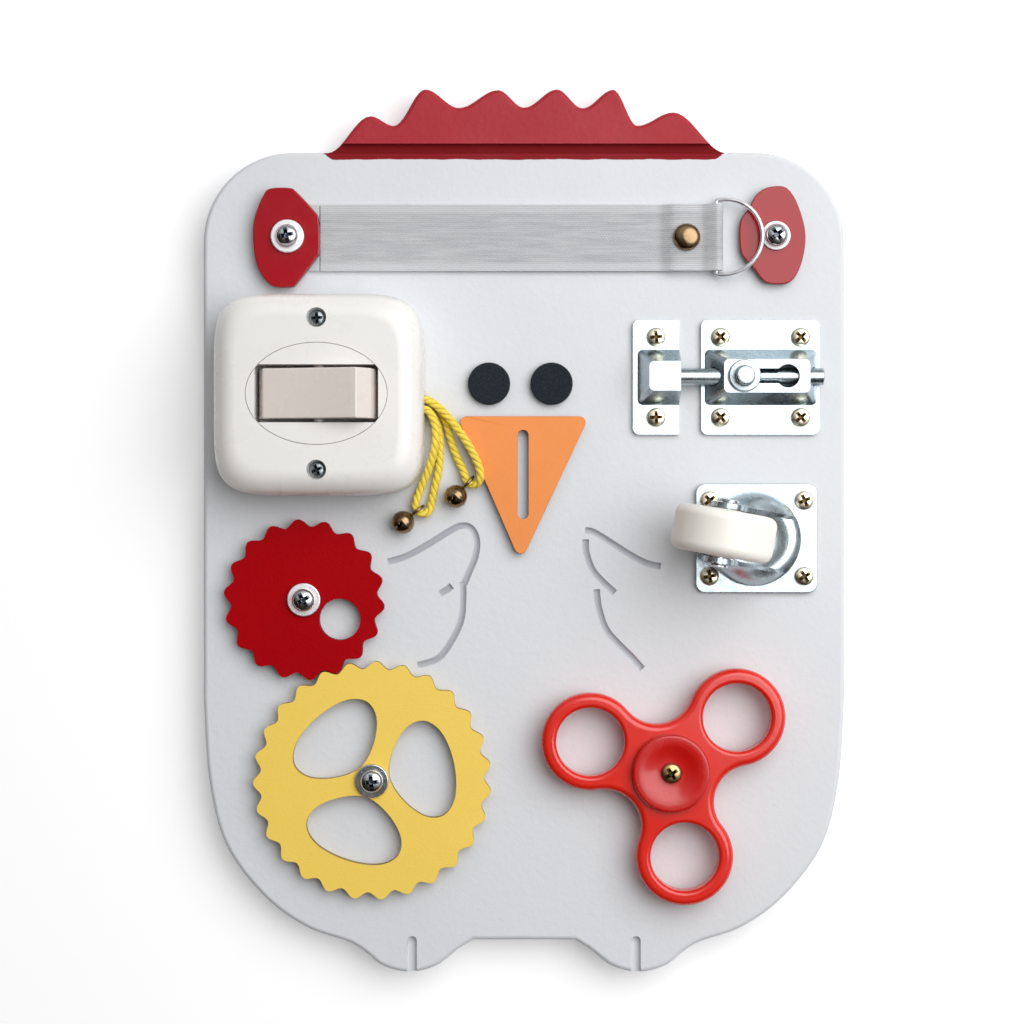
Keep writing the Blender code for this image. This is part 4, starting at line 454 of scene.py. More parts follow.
def cut_edge(given):
    """The colour of a cut side where the surface stands upright, worn unevenly into the face's colour."""
    wander = (given["Vector"].noise(1400.0, 4.0) - 0.5) * given["Chips"]
    side = (abs(given["Normal"].xyz()[2]) + wander).ramp(0.35, 0.8, 1.0, 0.0)
    return side.blend(given["Face"], given["Side"])


def fine_scratches(given):
    """Hairline scratches that run two ways."""
    edge = given["Density"] * -0.2 + 0.78
    masks = []
    for angle in (0.35, 1.9):
        feeds = {"Vector": given["Vector"], "Angle": angle}
        place = edge.made("VectorRotate", feeds, rotation_type="Z_AXIS").stretched((1.0, 34.0, 8.0))
        masks.append(place.noise(given["Scale"], 2.0).ramp(edge, edge + 0.05))
    return masks[0].step("MAXIMUM", masks[1])


def handling(given):
    """Gloss that handling has dulled and polished in patches."""
    return given["Vector"].noise(given["Scale"], 5.0, 0.6).ramp(0.3, 0.7, given["Smooth"], given["Dull"])


def cross_recess(given):
    """The inside of a screw's cross, on a screw mapped from above with its middle at (10, 10)."""
    u, v = (abs(share - 10.0) for share in given["Vector"].xyz()[:2])
    return u.step("MINIMUM", v).ramp(0.21, 0.16) * u.step("MAXIMUM", v).ramp(0.72, 0.64)


def shared_effect(build, output, **inputs):
    """A shader group made once, with named inputs and one output."""
    tree = bpy.data.node_groups.new(build.__name__.replace("_", " "), "ShaderNodeTree")
    for label, default in inputs.items():
        kind = "Float" if isinstance(default, float) else "Color" if len(default) == 4 else "Vector"
        socket = tree.interface.new_socket(label, in_out="INPUT", socket_type="NodeSocket" + kind)
        socket.default_value = default
    kind = "Color" if output == "Color" else "Float"
    tree.interface.new_socket(output, in_out="OUTPUT", socket_type="NodeSocket" + kind)
    sources = tree.nodes.new("NodeGroupInput").outputs
    target = tree.nodes.new("NodeGroupOutput").inputs[output]
    feed(target, build({label: Value(sources[label]) for label in inputs}))
    return tree


ORIGIN = (0.0, 0.0, 0.0)
WHITE = (1.0, 1.0, 1.0, 1.0)
BLACK = (0.0, 0.0, 0.0, 1.0)
EFFECTS = {
    "tone drift": shared_effect(tone_drift, "Color", Vector=ORIGIN, Color=WHITE, Scale=40.0, Amount=0.05),
    "fine relief": shared_effect(fine_relief, "Height", Vector=ORIGIN, Scale=900.0, Stretch=(1.0, 1.0, 1.0)),
    "cut edge": shared_effect(
        cut_edge, "Color", Vector=ORIGIN, Normal=ORIGIN, Face=WHITE, Side=BLACK, Chips=0.35,
    ),
    "fine scratches": shared_effect(fine_scratches, "Mask", Vector=ORIGIN, Scale=90.0, Density=0.5),
    "handling": shared_effect(handling, "Roughness", Vector=ORIGIN, Scale=60.0, Smooth=0.3, Dull=0.45),
    "cross recess": shared_effect(cross_recess, "Mask", Vector=ORIGIN),
}


# Materials

class Finish:
    """A material in the making, with its shader's inputs and the places that its patterns follow."""

    def __init__(self, name):
        self.material = bpy.data.materials.new(name)
        self.material.use_nodes = True
        self.tree = self.material.node_tree
        self.shader = self.tree.nodes["Principled BSDF"].inputs
        places = new_node(self.tree, "TexCoord").outputs
        self.place, self.normal, self.uv = (Value(places[name]) for name in ("Object", "Normal", "UV"))

    def spot(self):
        """Where the surface lies, in millimetres, as three values."""
        return self.place.stretched((1 / MM, 1 / MM, 1 / MM)).xyz()

    def effect(self, name, **inputs):
        """A shared effect, placed in this material with its own values."""
        group = self.tree.nodes.new("ShaderNodeGroup")
        group.node_tree = EFFECTS[name]
        for label, value in {"Vector": self.place, **inputs}.items():
            feed(group.inputs[label], value)
        return Value(group.outputs[0])

    def done(self, feeds, height=None, depth=0.0):
        """Feeds the shader, with bumps of the given depth, and gives back the finished material."""
        for label, value in feeds.items():
            feed(self.shader[label], value)
        if height:
            bump = height.made("Bump", {"Height": height, "Distance": depth * MM, "Strength": 1.0}, "Normal")
            feed(self.shader["Normal"], bump)
        return self.material


def painted_wood(name, face, side, smooth, dull, brush, drift, chips, shine, depth=0.09):
    """Thin plywood or board, painted on its face, with its sawn or burnt side showing."""
    finish = Finish(name)
    toned = finish.effect("tone drift", Color=screen(*face), Scale=45.0, Amount=drift)
    sides = {"Normal": finish.normal, "Face": toned, "Side": screen(*side), "Chips": chips}
    return finish.done({
        "Base Color": finish.effect("cut edge", **sides),
        "Roughness": finish.effect("handling", Scale=120.0, Smooth=smooth, Dull=dull),
        "Specular IOR Level": shine,
    }, finish.effect("fine relief", Scale=1100.0, Stretch=brush), depth)


def plated_metal(name, colour, shade, smooth, dull, scratches, cross=None):
    """Bright plated or polished metal with hairline scratches, and painted shade in the crosses of its
    screws.
    """
    finish = Finish(name)
    toned = finish.effect("tone drift", Color=screen(*colour), Scale=150.0, Amount=0.04)
    marks = finish.effect("fine scratches", Scale=260.0, Density=scratches)
    tarnish = finish.place.noise(420.0, 5.0, 0.65).ramp(0.5, 0.75, 0.0, 0.14)
    tinted = tarnish.blend(toned, screen(*shade))
    # A screw's cross is painted darker inside: painted shade.
    if cross:
        tinted = finish.effect("cross recess", Vector=finish.uv).blend(tinted, screen(*cross))
    return finish.done({
        "Base Color": tinted,
        "Roughness": finish.effect("handling", Scale=300.0, Smooth=smooth, Dull=dull) + marks * 0.15,
        "Metallic": 1.0,
    }, finish.effect("fine relief", Scale=700.0) - marks * 0.4, 0.015)


def moulded_plastic(name, colour, smooth, dull, dust, drift, coat=0.0, glow=0.0):
    """Injection-moulded plastic with faint orange peel, and handling dirt in patches."""
    finish = Finish(name)
    toned = finish.effect("tone drift", Color=screen(*colour), Scale=35.0, Amount=drift)
    dirt = finish.place.noise(170.0, 6.0, 0.7).ramp(0.56, 0.8, 0.0, 0.25)
    return finish.done({
        "Base Color": dirt.blend(toned, screen(*dust)),
        "Roughness": finish.effect("handling", Scale=90.0, Smooth=smooth, Dull=dull),
        "Coat Weight": coat,
        "Coat Roughness": 0.12,
        "Subsurface Weight": glow,
        "Subsurface Radius": (1.0, 0.9, 0.8),
        "Subsurface Scale": 1.2 * MM,
    }, finish.effect("fine relief", Scale=500.0), 0.02)


COMB_LINE_Y = 116.0
GROOVE_LOW_Y = 117.8
GROOVE_TOP_Y = 121.0


def board_paint():
    """White rolled paint, with the comb painted red down to a hand-cut line, painted shade in the comb's
    groove and in the wing strokes, and a bare plywood back.
    """
    finish = Finish("board paint")
    x, y, z = finish.spot()
    white = finish.effect("tone drift", Color=screen(221, 223, 226), Scale=16.0, Amount=0.035)
    red = finish.effect("tone drift", Color=screen(170, 24, 40), Scale=60.0, Amount=0.14)
    line = finish.place.noise(130.0) - 0.5 + abs(x).ramp(59.5, 64.5, 0.0, 3.0) + COMB_LINE_Y
    comb = (y - line).ramp(-0.15, 0.15)
    # The comb's groove and the narrow band below it are painted a darker red: painted shade.
    deep = comb * z.ramp(FRONT - 0.3, FRONT - 1.2) * y.ramp(GROOVE_TOP_Y + 0.2, GROOVE_TOP_Y - 0.2)
    stripe = comb * y.ramp(GROOVE_LOW_Y + 0.1, GROOVE_LOW_Y - 0.1, 0.0, 0.7)
    dark = deep.step("MAXIMUM", stripe)
    painted = dark.blend(comb.blend(white, red), screen(120, 8, 14))
    # The wing strokes are painted grey where they sink below the face: painted shade.
    wings = abs(y + 20.0).ramp(30.0, 28.0) * abs(x).ramp(60.0, 55.0)
    stroke_shade = z.ramp(FRONT - 0.05, FRONT - 0.9) * wings * 0.85
    painted = stroke_shade.blend(painted, screen(160, 162, 168))
    veins = finish.place.stretched((9.0, 1.0, 9.0)).noise(55.0, 5.0, 0.6).ramp(0.35, 0.7)
    bare = veins.blend(screen(214, 184, 143), screen(178, 140, 96))
    back = finish.normal.xyz()[2].ramp(-0.5, -0.85)
    return finish.done({
        "Base Color": back.blend(painted, bare),
        "Roughness": finish.effect("handling", Scale=25.0, Smooth=0.42, Dull=0.58) + dark * 0.5,
        "Specular IOR Level": 0.4,
    }, finish.effect("fine relief", Scale=520.0), 0.12)


def felt_cloth():
    """Dense dark felt with a short pressed nap."""
    finish = Finish("felt cloth")
    nap = finish.place.noise(2600.0, 6.0, 0.75)
    lint = finish.place.noise(1500.0, 2.0).ramp(0.68, 0.74, 0.0, 0.5)
    base = nap.ramp(0.3, 0.7).blend(screen(24, 28, 34), screen(46, 52, 61))
    return finish.done({
        "Base Color": lint.blend(base, screen(92, 98, 106)),
        "Roughness": 0.95,
        "Sheen Weight": 0.25,
        "Sheen Roughness": 0.4,
        "Specular IOR Level": 0.2,
    }, nap, 0.3)


STRAP_Y = 91.3
RIB_PITCH = 0.62
WEFT_PITCH = 0.9


def webbing_cloth():
    """Smooth grey webbing: fine ribs along its length, crossed by the weft, painted shade in the low parts
    of the weave, and paler towards both long edges.
    """
    finish = Finish("webbing cloth")
    x, y, _ = finish.spot()
    across = y - STRAP_Y
    rib = (across * (math.tau / RIB_PITCH)).step("SINE")
    row = (across * (1 / RIB_PITCH)).step("FLOOR")
    weft = (x * (math.tau / WEFT_PITCH) + row * math.pi).step("SINE")
    height = rib * 0.5 + weft * 0.22
    streaks = finish.place.stretched((1.0, 14.0, 6.0)).noise(60.0, 5.0, 0.7).ramp(0.3, 0.72)
    base = streaks.blend(screen(180, 181, 184), screen(202, 203, 205))
    base = abs(across).ramp(7.2, 8.6, 0.0, 0.7).blend(base, screen(212, 214, 216))
    # Darker grey in the low parts of the weave: painted shade.
    return finish.done({
        "Base Color": height.ramp(-0.7, 0.4, 0.22, 0.0).blend(base, screen(120, 122, 126)),
        "Roughness": 0.5,
        "Sheen Weight": 0.1,
    }, height, 0.07)


def cord_yarn():
    """Bright twisted yarn: fibres along each strand, and painted shade between the strands."""
    finish = Finish("yellow cord")
    u, v, _ = finish.uv.xyz()
    strand = v * (1 / CORD_PITCH) + u
    ridge = abs((strand * (3 * math.pi)).step("SINE"))
    fibres = strand.made("CombineXYZ", {0: strand * 44.0, 1: v * 0.5}).noise(1.6, 3.0, 0.7)
    bright = fibres.ramp(0.3, 0.7).blend(screen(238, 204, 40), screen(252, 236, 96))
    # Darker yellow where the strands meet: painted shade.
    return finish.done({
        "Base Color": ridge.ramp(0.0, 0.55, 0.8, 0.0).blend(bright, screen(196, 146, 18)),
        "Roughness": 0.75,
        "Sheen Weight": 0.2,
    }, ridge + fibres * 0.9, 0.12)


BOARD_PAINT = board_paint()
FELT = felt_cloth()
WEBBING = webbing_cloth()
CORD_YARN = cord_yarn()

# Name, face, side, smoothest, dullest, brush strokes, drift of tone, chips, shine and depth of the relief
BEAK_PAINT = painted_wood(
    "beak paint", (242, 148, 78), (96, 52, 30), 0.45, 0.62, (4, 1, 1), 0.05, 0.35, 0.3,
)
CRIMSON_PAINT = painted_wood(
    "crimson paint", (164, 10, 26), (74, 14, 22), 0.14, 0.2, (1, 1, 1), 0.08, 0.2, 0.5, 0.02,
)
RED_PAINT = painted_wood("red paint", (168, 2, 12), (92, 12, 18), 0.34, 0.5, (1, 1, 1), 0.1, 0.25, 0.05)
YELLOW_PAINT = painted_wood(
    "yellow paint", (248, 212, 96), (150, 118, 58), 0.42, 0.58, (1, 3, 1), 0.05, 0.3, 0.3,
)

# Name, colour, smoothest, dullest, dust, drift of tone, coat and glow
WHITE_PLASTIC = moulded_plastic("white plastic", (241, 239, 235), 0.24, 0.36, (214, 206, 196), 0.012, 0.2)
BEIGE_PLASTIC = moulded_plastic("beige plastic", (228, 218, 211), 0.22, 0.32, (196, 184, 172), 0.015, 0.2)
GREY_PLASTIC = moulded_plastic("grey plastic", (120, 122, 126), 0.4, 0.55, (150, 150, 150), 0.05)
RED_PLASTIC = moulded_plastic("red plastic", (224, 36, 20), 0.16, 0.26, (228, 66, 46), 0.03, 0.4, 0.05)
DEEP_RED_PLASTIC = moulded_plastic(
    "dark red plastic", (198, 16, 10), 0.18, 0.3, (212, 48, 34), 0.03, 0.3, 0.05,
)
IVORY_NYLON = moulded_plastic("ivory nylon", (250, 245, 236), 0.3, 0.42, (226, 210, 192), 0.02, 0.0, 0.25)
WHITE_WASHER = moulded_plastic("white washer", (250, 250, 250), 0.2, 0.3, (228, 228, 228), 0.03, 0.3)

# Name, colour, tarnish, smoothest, dullest, scratches and the painted shade in the crosses of screws
ZINC = plated_metal("zinc plate", (186, 198, 204), (132, 144, 150), 0.2, 0.34, 0.6)
STEEL = plated_metal("bright steel", (210, 213, 216), (126, 128, 132), 0.14, 0.26, 0.5, (90, 98, 106))
SATIN_STEEL = plated_metal("satin steel", (244, 243, 244), (170, 168, 170), 0.34, 0.5, 0.3)
# The cover's screws sit in the shade of their wells, so their steel is painted darker: painted shade.
SHADED_STEEL = plated_metal("shaded steel", (142, 150, 152), (72, 78, 82), 0.22, 0.36, 0.5, (44, 50, 54))
# A darker copy of the yellow zinc, for the screw deep in the spinner's cap.
DARK_BRASS = plated_metal("dark yellow zinc", (188, 160, 112), (96, 74, 44), 0.2, 0.34, 0.5, (60, 52, 24))
BRASS = plated_metal("yellow zinc", (250, 242, 216), (170, 146, 100), 0.2, 0.34, 0.5, (84, 66, 36))
OLD_BRASS = plated_metal("old brass", (146, 122, 92), (66, 46, 32), 0.14, 0.26, 0.4)


# The cords and their bells

BELL_RADIUS = 3.7
BELL_WALL = 0.6
EYELET_RADIUS = 2.1
EYELET_WIRE = 0.5


def twisted_cord(name, route):
    """A round cord of three strands along its route."""
    spots = [Vector(point) * MM for point in route]
    path = smooth_line(spots, 2)
    line = smooth_line(spots, 16)
    last = len(line) - 1
    runs = [0.0]
    for before, here in zip(line, line[1:]):
        runs.append(runs[-1] + (here - before).length)
    side = Vector((0, 0, 1))
    points, faces, around = [], [], []
    for i, here in enumerate(line):
        run = (line[min(i + 1, last)] - line[max(i - 1, 0)]).normalized()
        side = (side - run * side.dot(run)).normalized()
        other = run.cross(side)
        for j in range(CORD_SIDES):
            share = j / CORD_SIDES
            strand = abs(math.sin(3 * math.pi * (share + runs[i] / (CORD_PITCH * MM))))
            radius = CORD_RADIUS * MM * (0.8 + 0.2 * strand**0.6)
            angle = math.tau * share
            points.append(here + (side * math.cos(angle) + other * math.sin(angle)) * radius)
    for i in range(last):
        low, high = i * CORD_SIDES, (i + 1) * CORD_SIDES
        for j in range(CORD_SIDES):
            k = (j + 1) % CORD_SIDES
            faces.append((low + j, low + k, high + k, high + j))
            around += [(j, i), (j + 1, i), (j + 1, i + 1), (j, i + 1)]
    faces.append(tuple(reversed(range(CORD_SIDES))))
    faces.append(tuple(range(last * CORD_SIDES, len(points))))
    around += [(0, 0)] * (2 * CORD_SIDES)
    mesh = bpy.data.meshes.new(name)
    mesh.from_pydata(points, [], faces)
    layer = mesh.uv_layers.new(name="UVMap")
    for corner, (j, i) in zip(layer.data, around):
        corner.uv = (j / CORD_SIDES, runs[i] / MM)
    cord = bpy.data.objects.new(name, mesh)
    bpy.context.scene.collection.objects.link(cord)
    with editing(cord):
        bpy.ops.mesh.normals_make_consistent(inside=False)
    length = sum((b - a).length for a, b in zip(path, path[1:]))
    fitted(cord, "board", CORD_YARN, smooth=60)
    return cord


def jingle_bell(name, eyelet, angle):
    """A round bell pressed from two halves, slotted, with a pellet in it, on a wire eyelet."""
    drop = EYELET_RADIUS + BELL_RADIUS
    inside = BELL_RADIUS - BELL_WALL
    shell = BELL_RADIUS - 0.1
    outer = arc((0, 0), shell, -76, 90, 28)[:-1]
    inner = arc((0, 0), inside, 90, -74, 20)[1:]
    seam = [(BELL_RADIUS, -0.25), (BELL_RADIUS, 0.25)]
    outer = [p for p in outer if p[1] < -0.4] + seam + [p for p in outer if p[1] > 0.4]
    skin = turned("bell skin", [(0, shell)] + outer[::-1] + inner[::-1] + [(0, inside)])
    moved(skin, (-drop, 0, 0), 90, "Y")
    reach = BELL_RADIUS + OVERRUN
    combined(skin, [block((-drop - reach, -0.45, -reach), (-drop - BELL_WALL, 0.45, reach))])
    rounded(skin, 0.08, 1, 50)
    free()
    bpy.ops.mesh.primitive_torus_add(
        location=(0, 0, 0), rotation=ALONG_Y, major_segments=40, minor_segments=12,
        major_radius=(EYELET_RADIUS + EYELET_WIRE / 2) * MM, minor_radius=EYELET_WIRE * MM,
    )
    bell = together([skin, settled(), ball(1.3, (-drop - 1.2, 0.5, 0), 16, 10)])
    bell.name = name
    tilt = math.degrees(math.asin((FRONT + GAP + BELL_RADIUS - eyelet[2]) / drop))
    moved(bell, turn=tilt, axis="Y")
    return moved(bell, eyelet, angle + 180)


def make_cords():
    for side, route, eyelet, angle in (
        ("left", CORD_LEFT_ROUTE, (-33.2, 6.2, 15.2), 219.0),
        ("right", CORD_RIGHT_ROUTE, (-17.4, 14.9, 15.2), 228.0),
    ):
        bell = jingle_bell(f"jingle_bell_{side}", eyelet, angle)
        fitted(bell, f"bell_{side}", OLD_BRASS, f"bell_{side}")
        cord = twisted_cord(f"twisted_cord_{side}", route)
        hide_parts(f"cord_loop_{side}")


# The board with its eyes and beak

BOARD_WIDTH = 200.6
BOARD_LENGTH = 276.4
BOARD_TOP_RADIUS = 28.0
COMB_HEIGHT = 19.9
LOWER_EDGE_SHARES = (
    (0.158, -0.927), (0.205, -0.948), (0.275, -0.986), (0.357, -1.0), (0.440, -0.986), (0.495, -0.955),
    (0.550, -0.931), (0.682, -0.897), (0.814, -0.826), (0.931, -0.711), (0.983, -0.564), (1.0, -0.384),
)
COMB_SHARES = (
    (0.632, 0.0), (0.466, 0.638), (0.354, 0.427), (0.279, 0.995), (0.183, 0.704), (0.103, 1.0),
    (0.0, 0.714), (-0.081, 0.99), (-0.203, 0.709), (-0.308, 1.0), (-0.407, 0.427), (-0.479, 0.578),
    (-0.614, 0.0),
)
WING_STROKE_SHARES = (
    ((0.190, 0.0), (0.218, -0.004), (0.276, -0.030), (0.333, -0.056), (0.383, -0.074), (0.426, -0.081)),
    ((0.192, -0.020), (0.194, -0.050), (0.212, -0.087), (0.240, -0.112), (0.283, -0.141)),
    ((0.226, -0.133), (0.233, -0.175), (0.255, -0.222), (0.290, -0.253), (0.333, -0.284), (0.369, -0.313)),
    ((-0.425, -0.071), (-0.367, -0.058), (-0.296, -0.030), (-0.225, 0.002), (-0.189, 0.011),
     (-0.161, 0.002), (-0.147, -0.025), (-0.153, -0.061), (-0.175, -0.100), (-0.188, -0.122)),
    ((-0.191, -0.116), (-0.190, -0.149), (-0.196, -0.201), (-0.225, -0.248), (-0.268, -0.289),
     (-0.332, -0.305)),
    ((-0.262, -0.143), (-0.243, -0.135), (-0.225, -0.125)),
)


def board_outline():
    """The whole edge of the board, anticlockwise from the crotch between the feet."""
    lower = smooth_line(sized(LOWER_EDGE_SHARES, BOARD_WIDTH, BOARD_LENGTH), 6)
    half = BOARD_WIDTH / 2
    top = BOARD_LENGTH / 2 - COMB_HEIGHT
    comb = []
    for (x, low), (next_x, next_low) in zip(COMB_SHARES, COMB_SHARES[1:]):
        for t in (step / 10 for step in range(10)):
            rise = (1 - math.cos(math.pi * t)) / 2
            across, up = x + (next_x - x) * t, low + (next_low - low) * rise
            comb.append((half * across, top + COMB_HEIGHT * up))
    comb.append((half * COMB_SHARES[-1][0], top))
    right = arc((half - BOARD_TOP_RADIUS, top - BOARD_TOP_RADIUS), BOARD_TOP_RADIUS, 0, 90, 24)
    side = [tuple(point) for point in lower] + right
    return side + comb + [(-x, y) for x, y in reversed(side)]


def make_board():
    board = plate("hen_board", board_outline(), 0, FRONT, edge=1.5, segments=3)
    line_y, end = BOARD_LENGTH / 2 - COMB_HEIGHT, -BOARD_LENGTH / 2
    groove_left, groove_right, groove_depth = -62.6, 64.4, 1.8
    toe_x, toe_length, toe_half, toe_depth = 35.0, 9.9, 1.5, 2.0
    stroke_radius, stroke_lift = 1.15, 0.25
    low = (groove_left, line_y - 0.5, FRONT - groove_depth)
    cutters = [block(low, (groove_right, line_y + 2.7, FRONT + OVERRUN))]
    for x in (-toe_x, toe_x):
        notch = arc((x, end + toe_length), toe_half, 0, 180, 16)
        notch += [(x - toe_half, end - OVERRUN), (x + toe_half, end - OVERRUN)]
        cutters.append(prism(notch, FRONT - toe_depth, FRONT + OVERRUN))
    combined(board, cutters)
    for shares in WING_STROKE_SHARES:
        line = smooth_line(sized(shares, BOARD_WIDTH, BOARD_LENGTH), 8)
        line = [(x, y, FRONT + stroke_lift) for x, y in line]
        combined(board, [wire("stroke", line, stroke_radius, sides=4)])
    rounded(board, 0.2, 2, 50)
    fitted(board, "board", BOARD_PAINT, "board")


def make_eyes():
    """Two felt discs, their rims a little ragged."""
    radius, thick, soft = 6.6, 2.4, 0.7
    crown = thick + 0.05
    profile = [(0, 0), (radius - 0.2, 0), (radius, 0.3)]
    profile += arc((radius - soft, thick - soft), soft, 0, 90, 5) + [(radius * 0.5, crown), (0, crown)]
    for name in ("eye_left", "eye_right"):
        place, bottom, _ = span(name)
        eye = turned(name + "_felt", profile, 72)
        with editing(moved(eye, (*place, bottom))):
            bpy.ops.transform.vertex_random(offset=0.06 * MM, seed=3)
        fitted(eye, "board", FELT, name, smooth=50)


def make_beak():
    half, length, thick, corner = 20.6, 45.6, 3.0, 2.0
    slot_half, slot_top, slot_end = 1.65, -5.95, -30.35
    place = (-0.3, 35.6)
    outline = rounded_polygon(((-half, 0), (-0.8, -length), (half, 0)), corner, 10)
    slot = arc((0, slot_top), slot_half, 0, 180, 14) + arc((0, slot_end), slot_half, 180, 360, 14)
    outline, slot = (shifted(line, place) for line in (outline, slot))
    beak = plate("beak_wedge", outline, FRONT + GAP, FRONT + GAP + thick, [slot], segments=3)
    fitted(beak, "board", BEAK_PAINT, "beak")


# Screws and washers

def driver_blades(width, reach, depth, top):
    """Two tapered blades that cross, in the shape of the driver that fits the screw."""
    blades = []
    for turn in (0, 90):
        blade = block((-reach, -width / 2, top - depth), (reach, width / 2, top + OVERRUN))
        with editing(blade):
            pick(blade, "faces", lambda face: face.normal.z < -0.9)
            centre = metres(0, 0, top - depth)
            bpy.ops.transform.resize(value=(0.35, 0.7, 1.0), center_override=centre)
        blades.append(moved(blade, turn=turn))
    return blades


def cross_screw(head, height, shank, length, flat):
    """A cross-headed screw whose head sits on z = 0, with its shank below; head and shank are radii."""
    profile = [(0, -length), (shank * 0.3, 0.6 * shank - length), (shank, 1.6 * shank - length), (shank, 0)]
    profile += [(head - 0.15, 0), (head, 0.15)]
    profile += arc((0, height * flat), (head, height * (1 - flat)), 0, 80, 8) + [(0, height)]
    screw = turned("screw", profile)
    for blade in driver_blades(0.34 * head, 0.68 * head, 0.8 * height, height):
        combined(screw, [blade])
    rounded(screw, 0.05, 1, 45)
    layer = screw.data.uv_layers.active or screw.data.uv_layers.new(name="UVMap")
    for corner, spot in zip(screw.data.loops, layer.data):
        place = screw.data.vertices[corner.vertex_index].co / (head * MM)
        spot.uv = (10 + place.x, 10 + place.y)
    return screw


def make_screws(turns, material, head, height, shank, length, flat):
    """Copies of one screw in the places of the part's screws, each turned by its own angle."""
    model = cross_screw(head, height, shank, length, flat)
    for (name, node), turn in turns.items():
        place, _, top = span(node)
        screw = model.copy()
        screw.data = model.data.copy()
        screw.name = name
        bpy.context.scene.collection.objects.link(screw)
        moved(screw, (*place, top - height), turn)
        fitted(screw, "board", material, node)
    bpy.data.objects.remove(model, do_unlink=True)


def flat_washer(name, node, material):
    """A punched washer with a rounded upper edge."""
    place, bottom, top = span(node)
    low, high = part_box(node)
    radius, thick = (high[0] - low[0]) / 2 / MM, top - bottom
    edge = 0.35
    profile = [(SCREW_BORE, 0), (radius - 0.1, 0), (radius, 0.15)]
    profile += arc((radius - edge, thick - edge), edge, 0, 90, 5)
    profile += [(SCREW_BORE + 0.15, thick), (SCREW_BORE, thick - 0.15)]
    fitted(moved(turned(name, profile, 64), (*place, bottom)), "board", material, node)


def make_all_screws():
    large = {"strap_clamp": 12, "turn_button": 38, "red_gear": 30, "yellow_gear": 5}
    turns = {(stem + "_pan_screw", stem + "_screw"): turn for stem, turn in large.items()}
    make_screws(turns, STEEL, head=3.5, height=2.6, shank=1.75, length=12.0, flat=0.3)
    nodes = [f"latch_screw_{i}" for i in range(1, 5)] + ["keeper_screw_1", "keeper_screw_2"]
    nodes += [f"caster_screw_{i}" for i in range(1, 5)]
    small = zip(nodes, (42, 40, 44, 47, 2, 5, 10, 31, 24, 40))
    turns = {(node.replace("screw", "cross_screw"), node): turn for node, turn in small}
    make_screws(turns, BRASS, head=2.9, height=1.6, shank=1.3, length=8.8, flat=0.42)
    ends = {"top": 4, "bottom": 24}
    turns = {(f"cover_pan_screw_{end}", f"cover_screw_{end}"): turn for end, turn in ends.items()}
    make_screws(turns, SHADED_STEEL, head=2.5, height=1.5, shank=1.3, length=10.0, flat=0.55)
    turns = {("spinner_cross_screw", "spinner_screw"): 33}
    make_screws(turns, DARK_BRASS, head=3.0, height=1.7, shank=1.75, length=12.0, flat=0.5)


def make_washers():
    for stem, material in (
        ("strap_clamp", SATIN_STEEL), ("turn_button", WHITE_WASHER),
        ("red_gear", SATIN_STEEL), ("yellow_gear", STEEL),
    ):
        flat_washer(stem + "_flat_washer", stem + "_washer", material)
    for stem in ("red_gear", "yellow_gear", "spinner"):
        flat_washer(stem + "_standoff", stem + "_spacer", STEEL)


# The strap, its clamp, its rivet and its ring

STRAP_WIDTH = 21.3
STRAP_THICK = 1.2
STRAP_HINGE_X = -62.9
STRAP_BAR_X = 59.8
STRAP_HEIGHT = FRONT + GAP + STRAP_THICK / 2
CLAMP_SHARES = (
    (0.10, 1.0), (-0.48, 0.99), (-0.70, 0.85), (-0.98, 0.36), (-1.0, -0.15), (-0.88, -0.58), (-0.63, -0.86),
    (-0.36, -0.99), (0.13, -1.0), (0.34, -0.91), (0.90, -0.42), (1.0, -0.26), (0.98, 0.36), (0.83, 0.55),
    (0.31, 0.92),
)
TURN_BUTTON_SHARES = (
    (0.23, 1.0), (-0.24, 0.98), (-0.58, 0.84), (-0.83, 0.55), (-1.07, 0.30), (-1.10, -0.11),
    (-1.01, -0.40), (-0.68, -0.65), (-0.39, -0.90), (-0.10, -0.97), (0.41, -0.94), (0.71, -0.68),
    (0.88, -0.26), (0.89, 0.13), (0.71, 0.57), (0.49, 0.86),
)


def woven_strip(name, line, soft=0.0):
    """A strip of webbing whose edge view is the line of (x, z), with soft waves in it."""
    free()
    rows, count = 20, len(line)
    bpy.ops.mesh.primitive_grid_add(x_subdivisions=count - 1, y_subdivisions=rows)
    strip = settled(name)
    for vertex in strip.data.vertices:
        i, j = vertex.index % count, vertex.index // count
        share = j / rows - 0.5
        x, z = line[i]
        if soft:
            along = i / count
            wave = math.sin(along * 19 + share * 2.1) * 0.5 + math.sin(along * 43 - share * 3.4) * 0.3
            z += soft * (wave + 0.5) * math.sin(math.pi * along) + (2 * share) ** 4 * 0.16
        vertex.co = metres(x, STRAP_Y + share * (STRAP_WIDTH - STRAP_THICK * 0.5), z)
    applied(strip, "SOLIDIFY", {"thickness": STRAP_THICK * MM, "offset": 0.0, "use_even_offset": True})
    return rounded(strip, 0.35, 3, 60)


